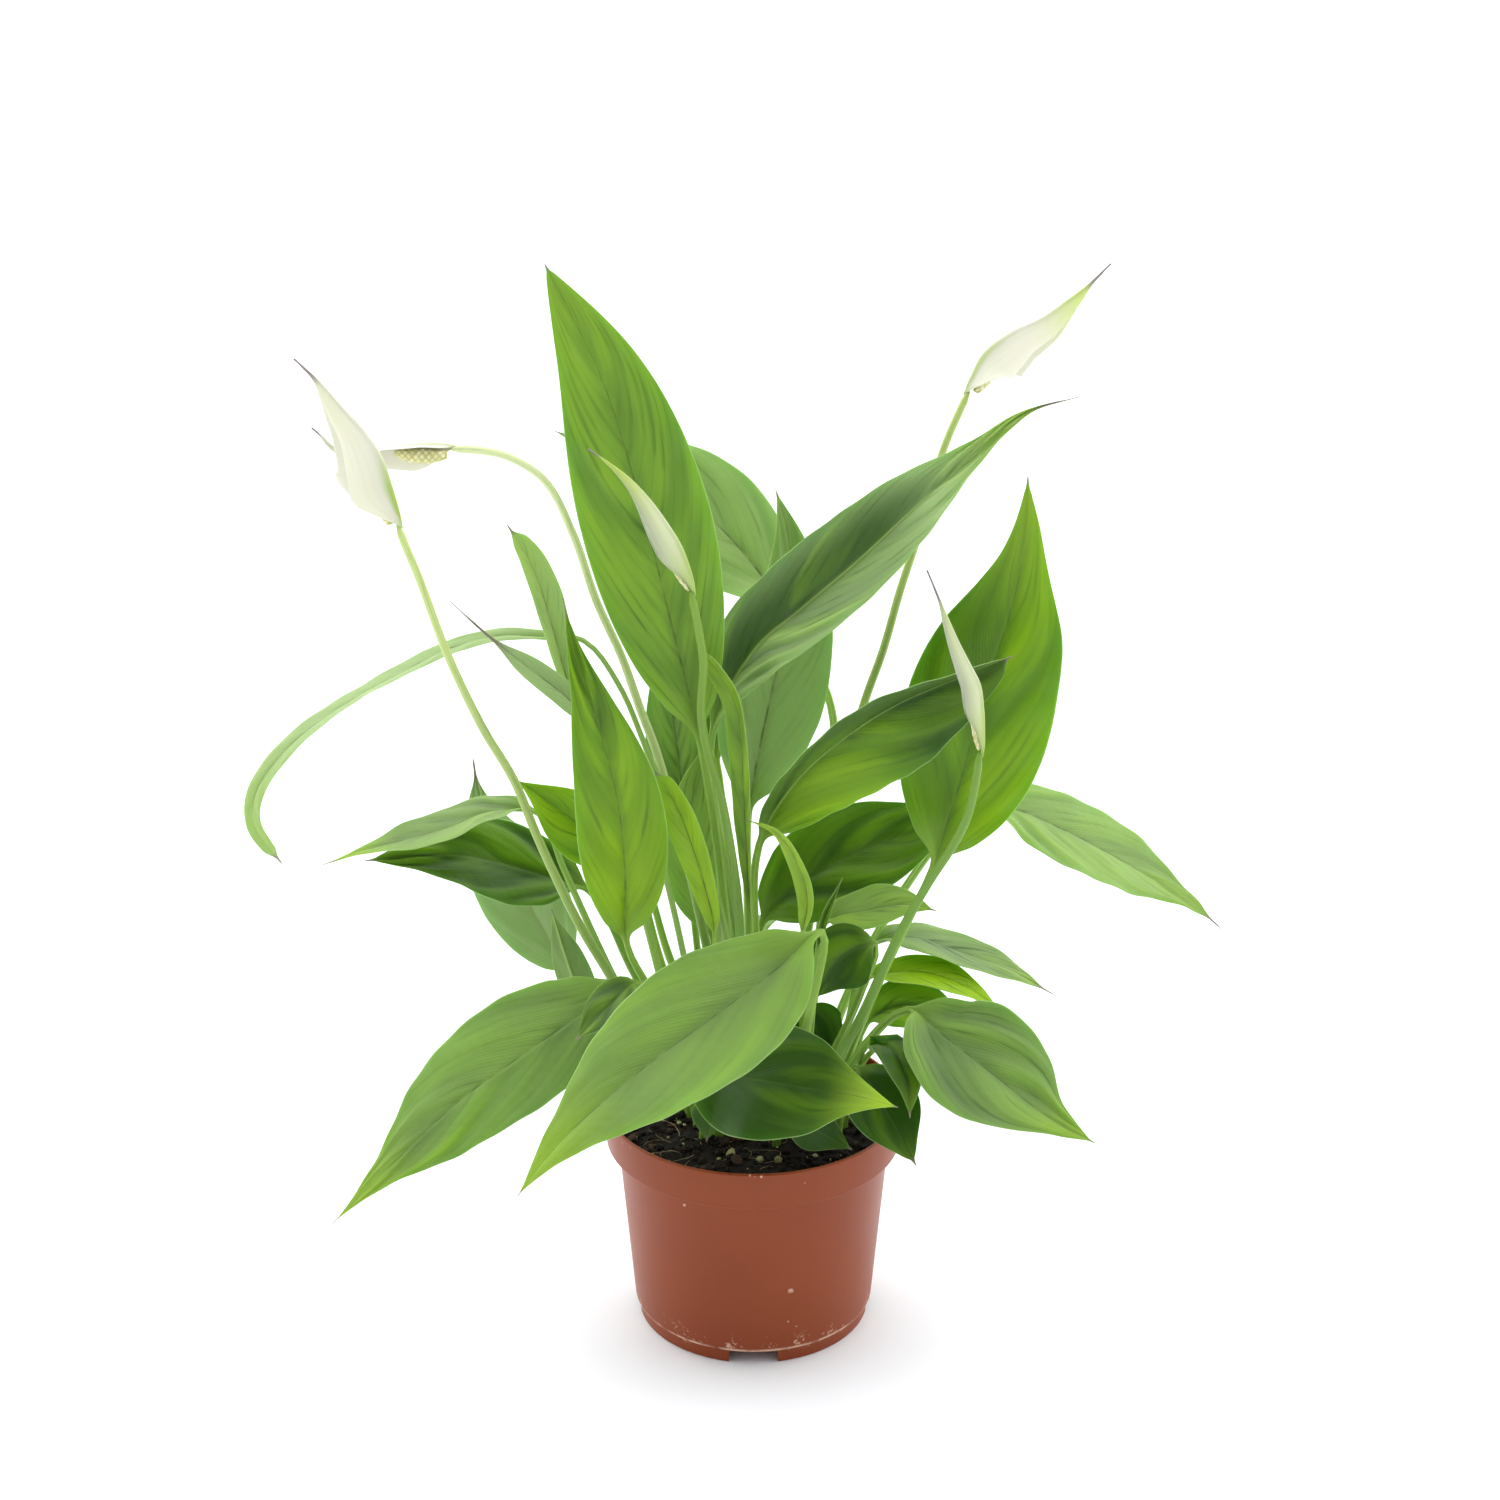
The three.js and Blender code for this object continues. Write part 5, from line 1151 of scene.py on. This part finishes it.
def makePot():
    make = potMake
    floor = make["footHeight"] + make["wall"]
    wall, foot = make["wall"], make["footRadius"]
    corners = [
        (0, make["footHeight"], 0),
        (foot - make["footWall"], make["footHeight"], 0.4),
        (foot - make["footWall"], 0, 0.4),
        (foot, 0, 0.5),
        (foot + 0.4, make["footHeight"], 0.3),
        (make["bodyFootRadius"], make["footHeight"] + 1, 0.9),
        (bodyTop, collarFoot, 0.5),
        (make["rimRadius"] - make["collarTaper"], collarFoot + 0.6, 0.8),
        (make["rimRadius"], make["height"] - 0.4, 0.5),
        (make["rimRadius"] - 0.5, make["height"], 0.5),
        (make["rimRadius"] - wall, make["height"], 0.5),
        (make["rimRadius"] - wall - 0.5, collarFoot + 3, 1.5),
        (bodyTop - wall, collarFoot, 1.5),
        (mix(make["bodyFootRadius"], bodyTop, floor / collarFoot) - wall, floor, 1),
        (0, floor, 0),
    ]
    places, faces = turnProfile(roundedProfile(corners), make["sides"])
    pot = addPiece("nurseryPot", places, faces, potMaterial, ["pot"])
    cutters = []
    deep, high = (0.6 * make["rimRadius"], 2 * make["rimRadius"]), make["footHeight"]
    w, draft = make["notchWidth"] / 2, make["notchDraft"]
    levels = [(-high, w + draft), (high, w - draft)]
    for i in range(make["notches"]):
        block = [(s * half, -y, z) for z, half in levels for y in deep for s in (-1, 1)]
        a = 2 * math.pi * i / make["notches"]
        c, s = math.cos(a), math.sin(a)
        block = [(x * c - y * s, x * s + y * c, z) for x, y, z in block]
        sides = [(0, 1, 3, 2), (4, 6, 7, 5), (0, 4, 5, 1), (2, 3, 7, 6), (0, 2, 6, 4), (1, 5, 7, 3)]
        cutters.append(makeCutter(block, sides))
    for i in range(make["drainHoles"]):
        a = 2 * math.pi * (i + 0.5) / make["drainHoles"]
        x, y = make["drainCircle"] * math.cos(a), make["drainCircle"] * math.sin(a)
        low, high, r = floor - 5, floor + 3, make["drainRadius"]
        places, faces = turnProfile([(0, low), (r, low), (r, high), (0, high)], 32)
        cutters.append(makeCutter([(px + x, py + y, pz) for px, py, pz in places], faces))
    for cutter in cutters:
        cut = pot.modifiers.new("cut", "BOOLEAN")
        cut.operation, cut.solver, cut.object = "DIFFERENCE", "EXACT", cutter
    graph = bpy.context.evaluated_depsgraph_get()
    done = bpy.data.meshes.new_from_object(pot.evaluated_get(graph))
    pot.modifiers.clear()
    pot.data = done
    done.polygons.foreach_set("use_smooth", [True] * len(done.polygons))
    done.set_sharp_from_angle(angle=math.radians(35))
    for cutter in cutters:
        bpy.data.objects.remove(cutter)


def makePotMaterial():
    # Polypropylene coloured like terracotta, moulded in a fine-blasted mould: satin,
    # with a soft broad highlight, chalky scuffs along its foot and a few nicks.
    colours = {
        "body": "#833710", "warm": "#8d4115", "scuff": "#d9b39b", "nick": "#e0b9a0",
        "soil": "#3a2418",
    }
    made, add = newMaterial("mouldedPolypropylene")
    place = add("TexCoord", gives="Object")
    height = add("SeparateXYZ", [place], gives="Z")
    # clouds 40 mm wide, grit 2 mm, patches 12 mm, and the blasted mould's grain at 0.4 mm,
    # which is drawn about 4 times as coarse as real
    cloud = add("TexNoise", {"Vector": place, "Scale": 24, "Detail": 4})
    grit = add("TexNoise", {"Vector": place, "Scale": 520, "Detail": 3, "Roughness": 0.65})
    patchy = add("TexNoise", {"Vector": place, "Scale": 85, "Detail": 4, "Roughness": 0.7})
    blast = add("TexNoise", {"Vector": place, "Scale": 2600, "Detail": 1})
    warm = add("MapRange", [cloud, 0.35, 0.7, 0, 0.5])
    colour = add("Mix", [warm, colours["body"], colours["warm"]], "RGBA")
    # scuffs: a chalky line where the body meets the foot ring, broken up by the noise
    footLine = 0.0066
    offLine = add("Math", [height, footLine], "SUBTRACT")
    offLine = add("Math", [offLine], "ABSOLUTE")
    narrow = add("MapRange", [offLine, 0.0011, 0.0002, 0, 1])
    broken = add("MapRange", [patchy, 0.38, 0.55, 0, 1])
    onLine = add("Math", [narrow, broken], "MULTIPLY")
    above = add("MapRange", [height, 0.016, 0.006, 0, 1])
    below = add("MapRange", [height, 0.004, 0.0062, 0, 1])
    wide = add("Math", [above, below], "MULTIPLY")
    specks = add("Math", [grit, patchy], "MULTIPLY")
    specks = add("MapRange", [specks, 0.315, 0.38, 0, 1])
    specks = add("Math", [specks, wide], "MULTIPLY")
    scuff = add("Math", [onLine, specks], "MAXIMUM")
    # a few pale nicks anywhere, and crumbs of soil stuck just under the rim
    dots = add("TexVoronoi", {"Vector": place, "Scale": 58, "Randomness": 1})
    nick = add("MapRange", [dots, 0.062, 0.04, 0, 0.8])
    rare = add("MapRange", [cloud, 0.52, 0.56, 0, 1])
    nick = add("Math", [nick, rare], "MULTIPLY")
    for x, y, z, half in potMake["nicks"]:
        away = add("VectorMath", [place, (x * mm, y * mm, z * mm)], "DISTANCE")
        away = add("Math", [grit, 0.0022, away], "MULTIPLY_ADD")
        spot = add("MapRange", [away, 0.0011 + half * mm, 0.0009 + 0.4 * half * mm, 0, 0.75])
        nick = add("Math", [nick, spot], "MAXIMUM")
    crumbs = add("TexVoronoi", {"Vector": place, "Scale": 260, "Randomness": 1})
    crumbs = add("MapRange", [crumbs, 0.2, 0.12, 0, 1])
    atRim = add("MapRange", [height, 0.087, 0.0945, 0, 1])
    few = add("MapRange", [patchy, 0.55, 0.6, 0, 0.8])
    crumbs = add("Math", [crumbs, atRim], "MULTIPLY")
    crumbs = add("Math", [crumbs, few], "MULTIPLY")
    for share, name in ((scuff, "scuff"), (nick, "nick"), (crumbs, "soil")):
        colour = add("Mix", [share, colour, colours[name]], "RGBA")
    rough = add("MapRange", [cloud, 0.3, 0.7, 0.36, 0.46])
    rough = add("Math", [scuff, 0.35, rough], "MULTIPLY_ADD")
    relief = add("Math", [scuff, 0.6, blast], "MULTIPLY_ADD")
    bump = add("Bump", {"Height": relief, "Strength": 0.35, "Distance": 0.0001})
    shader = add("BsdfPrincipled", {
        "Base Color": colour, "Roughness": rough, "Normal": bump, "IOR": 1.49,
        "Specular IOR Level": 0.3,
    })
    add("OutputMaterial", [shader])
    return made


potMaterial = makePotMaterial()
makePot()
print("pot: turned, notched and drained")


soilMake = {
    "top": 87,
    "edgeDrop": 1.6,
    "rough": ((14, 1.1), (6, 0.7), (2.6, 0.5), (1.2, 0.3)),  # lump length and height, mm
    "rings": 64,
    "sides": 200,
    "fit": 0.55,  # the gap to the pot's inner wall
    "reach": 56.5,  # how far from the middle the loose lumps lie
    # sizes are radii in mm, and the larger ones are rarer; flat is a lump's height as a share
    "crumbs": {
        "count": 1500, "sizes": (0.5, 2.3), "rough": 0.22, "flat": (0.5, 0.9), "shades": (0, 0.75),
    },
    "bark": {
        "count": 26, "sizes": (2.2, 4.2), "rough": 0.12, "flat": (0.2, 0.4), "shades": (0.1, 0.8),
    },
    "grains": {
        "count": 70, "sizes": (0.5, 1.3), "rough": 0.12, "flat": (0.6, 0.9), "shades": (0.2, 0.9),
        # across, up and radius of the pale grains that show from the front
        "shown": [
            (-36, 83, 1), (-32, 84.5, 1.2), (-30, 82, 1), (-28, 81, 0.9), (-9, 67, 2.3),
            (2.5, 65, 2.1), (10, 64.5, 1.7), (-14, 66, 1), (-4, 65, 1.1), (25, 67, 1.1),
            (31, 66, 0.9), (35, 68, 1),
        ],
    },
    "fibres": 46,
    "fibreLengths": (6, 20),
    "fibreRadius": 0.17,
    "fibreSpread": 50,  # how far from the middle a fibre starts, and how far it may run
    "fibreReach": 56,
    "shownFibres": [(-36, 78), (-33, 73), (-30, 76), (-29, 69), (-26, 66)],
}
shed = np.random.default_rng(12)


def makeLumps(spacing, size=160):
    # A seeded field of soft lumps, as tall as 1, over the pot's mouth.
    cells = int(size / spacing) + 3
    heights = shed.uniform(-1, 1, (cells, cells))

    def at(x, y):
        gx, gy = (np.asarray(x) + size / 2) / spacing, (np.asarray(y) + size / 2) / spacing
        ix, iy = np.floor(gx).astype(int), np.floor(gy).astype(int)
        fx, fy = smooth(gx - ix, 0, 1), smooth(gy - iy, 0, 1)
        near = mix(heights[ix, iy], heights[ix + 1, iy], fx)
        far = mix(heights[ix, iy + 1], heights[ix + 1, iy + 1], fx)
        return mix(near, far, fy)

    return at


soilLumps = [(makeLumps(spacing), height) for spacing, height in soilMake["rough"]]


def soilHeight(x, y):
    radius = np.hypot(x, y)
    lumps = sum(field(x, y) * height for field, height in soilLumps)
    return soilMake["top"] + lumps - soilMake["edgeDrop"] * smooth(radius, 40, 58)


def potInner(z):  # the radius of the pot's inner wall
    body = mix(potMake["bodyFootRadius"], bodyTop, z / collarFoot) - potMake["wall"]
    return body if z <= collarFoot else potMake["rimRadius"] - potMake["wall"] - 0.6


def makeBed():
    make = soilMake
    sides, rings = make["sides"], make["rings"]
    turn = np.linspace(0, 2 * math.pi, sides, endpoint=False)
    floor = potMake["footHeight"] + potMake["wall"] + 0.3
    edge = potInner(make["top"]) - make["fit"]
    places = []
    for radius in np.linspace(0.4, edge, rings):
        x, y = radius * np.cos(turn), radius * np.sin(turn)
        places += list(zip(x, y, soilHeight(x, y)))
    for z in (collarFoot + 3.2, collarFoot, floor):
        radius = min(potInner(z), edge + make["fit"]) - make["fit"]
        places += [(radius * math.cos(a), radius * math.sin(a), z) for a in turn]
    levels = rings + 3
    faces = ringFaces(levels, sides, downwards=True)
    top, bottom = len(places), len(places) + 1
    places += [(0, 0, float(soilHeight(0, 0))), (0, 0, floor)]
    last = (levels - 1) * sides
    for j in range(sides):
        n = (j + 1) % sides
        faces.append((top, j, n))
        faces.append((bottom, last + n, last + j))
    bed = addPiece("soilBed", places, faces, soilMaterial, ["soil"])
    paint(bed, shade=np.full(len(places), 0.35))


def lumpShape():
    # A round block to knock crumbs and grains from: an icosphere's points and faces.
    rock = bmesh.new()
    bmesh.ops.create_icosphere(rock, subdivisions=2, radius=1)
    points = np.array([v.co[:] for v in rock.verts])
    faces = [[v.index for v in f.verts] for f in rock.faces]
    rock.free()
    return points, faces


def strewn(reach):  # a place anywhere on the soil, as far as this from the middle at most
    radius, a = reach * math.sqrt(shed.random()), 2 * math.pi * shed.random()
    return radius * math.cos(a), radius * math.sin(a)


def scatterLumps(name, make, material):
    points, faces = lumpShape()
    allPoints, allFaces, allShades = [], [], []
    shown = make.get("shown", ())
    for i in range(make["count"]):
        size = mix(*make["sizes"], shed.random() ** 3)
        if i < len(shown):
            across, up, size = shown[i]
            x, y = nearGround(across, up)
        else:
            x, y = strewn(soilMake["reach"] - size)
        knocked = points * (1 + make["rough"] * shed.uniform(-1, 1, (len(points), 1)))
        knocked = knocked * size * np.array([1, shed.uniform(0.6, 1), shed.uniform(*make["flat"])])
        spin, tilt = 2 * math.pi * shed.random(), shed.uniform(-0.6, 0.6)
        c, s = math.cos(tilt), math.sin(tilt)
        knocked = knocked @ np.array([[1, 0, 0], [0, c, s], [0, -s, c]])
        c, s = math.cos(spin), math.sin(spin)
        knocked = knocked @ np.array([[c, s, 0], [-s, c, 0], [0, 0, 1]])
        lift = size * shed.uniform(0, 0.4)
        knocked = knocked + np.array([x, y, float(soilHeight(x, y)) + lift])
        allFaces += [[j + len(allPoints) * len(points) for j in f] for f in faces]
        allPoints.append(knocked)
        allShades.append(np.full(len(points), mix(*make["shades"], shed.random())))
    piece = addPiece(
        name, np.concatenate(allPoints), allFaces, material, ["soil"], smooth=False,
    )
    paint(piece, shade=np.concatenate(allShades))


def nearGround(across, up):
    # Where the sight line through a place on the upright plane meets the soil.
    target = np.array([across, 0, up])
    ray = target - eyePoint
    share = (soilMake["top"] - eyePoint[2]) / ray[2]
    x, y, _ = eyePoint + ray * share
    return x, y


def scatterFibres():
    # Pale curly fibres that lie on the soil: each is a thin five-sided tube.
    make = soilMake
    points, faces, shades = [], [], []
    for i in range(make["fibres"]):
        if i < len(make["shownFibres"]):
            x, y = nearGround(*make["shownFibres"][i])
        else:
            x, y = strewn(make["fibreSpread"])
        heading = 2 * math.pi * shed.random()
        curl, uncurl = shed.uniform(-0.2, 0.2), shed.uniform(-0.02, 0.02)
        steps = int(shed.uniform(*make["fibreLengths"]))
        lift, shade = shed.uniform(0.2, 1.3), shed.random()
        path = []
        for k in range(steps + 1):
            if math.hypot(x, y) > make["fibreReach"]:
                break
            z = float(soilHeight(x, y)) + 0.15 + lift * math.sin(math.pi * k / steps)
            path.append((x, y, z, heading))
            x, y = x + math.cos(heading), y + math.sin(heading)
            heading, curl = heading + curl, curl + uncurl
        if len(path) < 4:
            continue
        first, sides = len(points), 5
        for k, (px, py, pz, h) in enumerate(path):
            radius = make["fibreRadius"] * (1 - 0.6 * (k / len(path)) ** 2)
            for m in range(sides):
                turn = 2 * math.pi * m / sides
                wide, high = radius * math.cos(turn), radius * math.sin(turn)
                points.append((px - math.sin(h) * wide, py + math.cos(h) * wide, pz + high))
                shades.append(shade)
        faces += ringFaces(len(path), sides, first)
        faces.append(tuple(first + m for m in range(sides - 1, -1, -1)))
        faces.append(tuple(first + (len(path) - 1) * sides + m for m in range(sides)))
    piece = addPiece("soilFibres", points, faces, fibreMaterial, ["soil"])
    paint(piece, shade=shades)


def makeSoilMaterial(name, dark, light, warm):
    # Damp peat and what lies in it: darkest in the pores and lighter on the crumbs, matt,
    # with a broken surface of 1.1 mm grit in 4 mm lumps that catches light on its edges.
    made, add = newMaterial(name)
    shade = add("Attribute", how="shade", gives="Fac")
    place = add("TexCoord", gives="Object")
    grit = add("TexNoise", {"Vector": place, "Scale": 900, "Detail": 4, "Roughness": 0.7})
    lumps = add("TexNoise", {"Vector": place, "Scale": 260, "Detail": 3})
    tone = add("Math", [grit, 0.9, shade], "MULTIPLY_ADD")
    tone = add("MapRange", [tone, 0.55, 1.2, 0, 1])
    colour = add("Mix", [tone, dark, light], "RGBA")
    warmth = add("MapRange", [lumps, 0.5, 0.75, 0, 0.7])
    colour = add("Mix", [warmth, colour, warm], "RGBA")
    bump = add("Bump", {"Height": grit, "Strength": 0.9, "Distance": 0.0007})
    rough = add("MapRange", [grit, 0.3, 0.7, 0.75, 0.95])
    shader = add("BsdfPrincipled", {
        "Base Color": colour, "Roughness": rough, "Normal": bump, "IOR": 1.38,
    })
    add("OutputMaterial", [shader])
    return made


soilMaterial = makeSoilMaterial("pottingPeat", "#050302", "#1f150d", "#2a170c")  # near black
barkMaterial = makeSoilMaterial("compostedBark", "#1c120b", "#4a3322", "#4c2d1c")  # brown chips
# rounded mineral grains, dulled and greened by wet peat, and dried root fibres, pale as straw
grainMaterial = makeSoilMaterial("mineralGrains", "#72724c", "#c2bf94", "#9a8c55")
fibreMaterial = makeSoilMaterial("driedRootFibres", "#6e5c42", "#a8977a", "#8a754f")
makeBed()
for name, kind, material in (
    ("soilCrumbs", "crumbs", soilMaterial), ("soilBark", "bark", barkMaterial),
    ("soilGrains", "grains", grainMaterial),
):
    scatterLumps(name, soilMake[kind], material)
scatterFibres()
print("soil: bed, crumbs, bark, grains and fibres")


stageMake = {
    "pitchDown": 22.5,
    "lens": 72.2,
    "floorRadius": 40,  # metres
    "floorColour": "#f2f5fa",
    "frontStrength": 0.25,
    "backStrength": 1.8,
    "lampStrength": 1.1,
    "lampSpread": 80,
    "lampTilt": (-15, -8, 0),
    "sideStrength": 0.65,
    "sideSpread": 60,
    "sideTilts": ((0, 62, 20), (0, -62, -20)),
}


def makeFloor():
    floor = bmesh.new()
    bmesh.ops.create_circle(floor, cap_ends=True, segments=96, radius=stageMake["floorRadius"])
    mesh = bpy.data.meshes.new("studioFloor")
    floor.to_mesh(mesh)
    floor.free()
    # Matt studio paper: pale, almost without sheen, its grain drawn 3 mm wide, coarser than real.
    made, add = newMaterial("mattPaper")
    place = add("TexCoord", gives="Object")
    grain = add("TexNoise", {"Vector": place, "Scale": 300, "Detail": 2})
    bump = add("Bump", {"Height": grain, "Strength": 0.05, "Distance": 0.0001})
    shader = add("BsdfPrincipled", {
        "Base Color": stageMake["floorColour"], "Roughness": 0.9, "Normal": bump,
        "Specular IOR Level": 0.2,
    })
    add("OutputMaterial", [shader])
    mesh.materials.append(made)
    floorObject = bpy.data.objects.new("studioFloor", mesh)
    floorObject.location.z = -0.0001
    bpy.context.scene.collection.objects.link(floorObject)


def lightStudio():
    # A plain white surround, dim on the camera's side and brightest left, right and behind, as
    # in a light tent, with one wide soft lamp above it and one at either side.
    world = bpy.data.worlds.new("lightTent")
    world.use_nodes = True
    add = nodeAdder(world.node_tree)
    direction = add("TexCoord", gives="Generated")
    split = add("SeparateXYZ", [direction]).node.outputs
    sideways = add("Math", [split["X"]], "ABSOLUTE")
    backwards = add("Math", [sideways, 0.4, split["Y"]], "MULTIPLY_ADD")
    backwards = add("Math", [split["Z"], -0.15, backwards], "MULTIPLY_ADD")
    front, back = stageMake["frontStrength"], stageMake["backStrength"]
    strength = add("MapRange", [backwards, -0.95, 0.4, front, back], "SMOOTHSTEP")
    add("OutputWorld", [add("Background", {"Color": (1, 1, 1, 1), "Strength": strength})])
    bpy.context.scene.world = world
    lamps = [("topLamp", stageMake["lampStrength"], stageMake["lampSpread"], stageMake["lampTilt"])]
    for name, tilt in zip(("rightLamp", "leftLamp"), stageMake["sideTilts"]):
        lamps.append((name, stageMake["sideStrength"], stageMake["sideSpread"], tilt))
    for name, energy, spread, tilt in lamps:
        lamp = bpy.data.lights.new(name, "SUN")
        lamp.energy, lamp.angle = energy, math.radians(spread)
        holder = bpy.data.objects.new(name, lamp)
        holder.rotation_euler = [math.radians(a) for a in tilt]
        bpy.context.scene.collection.objects.link(holder)


makeFloor()
lightStudio()
bpy.context.scene.view_settings.view_transform = "Standard"

lens = bpy.data.cameras.new("photoCamera")
lens.sensor_width, lens.lens, lens.clip_end = 36, stageMake["lens"], 60
camera = bpy.data.objects.new("photoCamera", lens)
camera.location = eyePoint * mm
camera.rotation_euler = (math.radians(90 - stageMake["pitchDown"]), 0, 0)
bpy.context.scene.collection.objects.link(camera)
bpy.context.scene.camera = camera
print("stage: floor, soft light and camera")
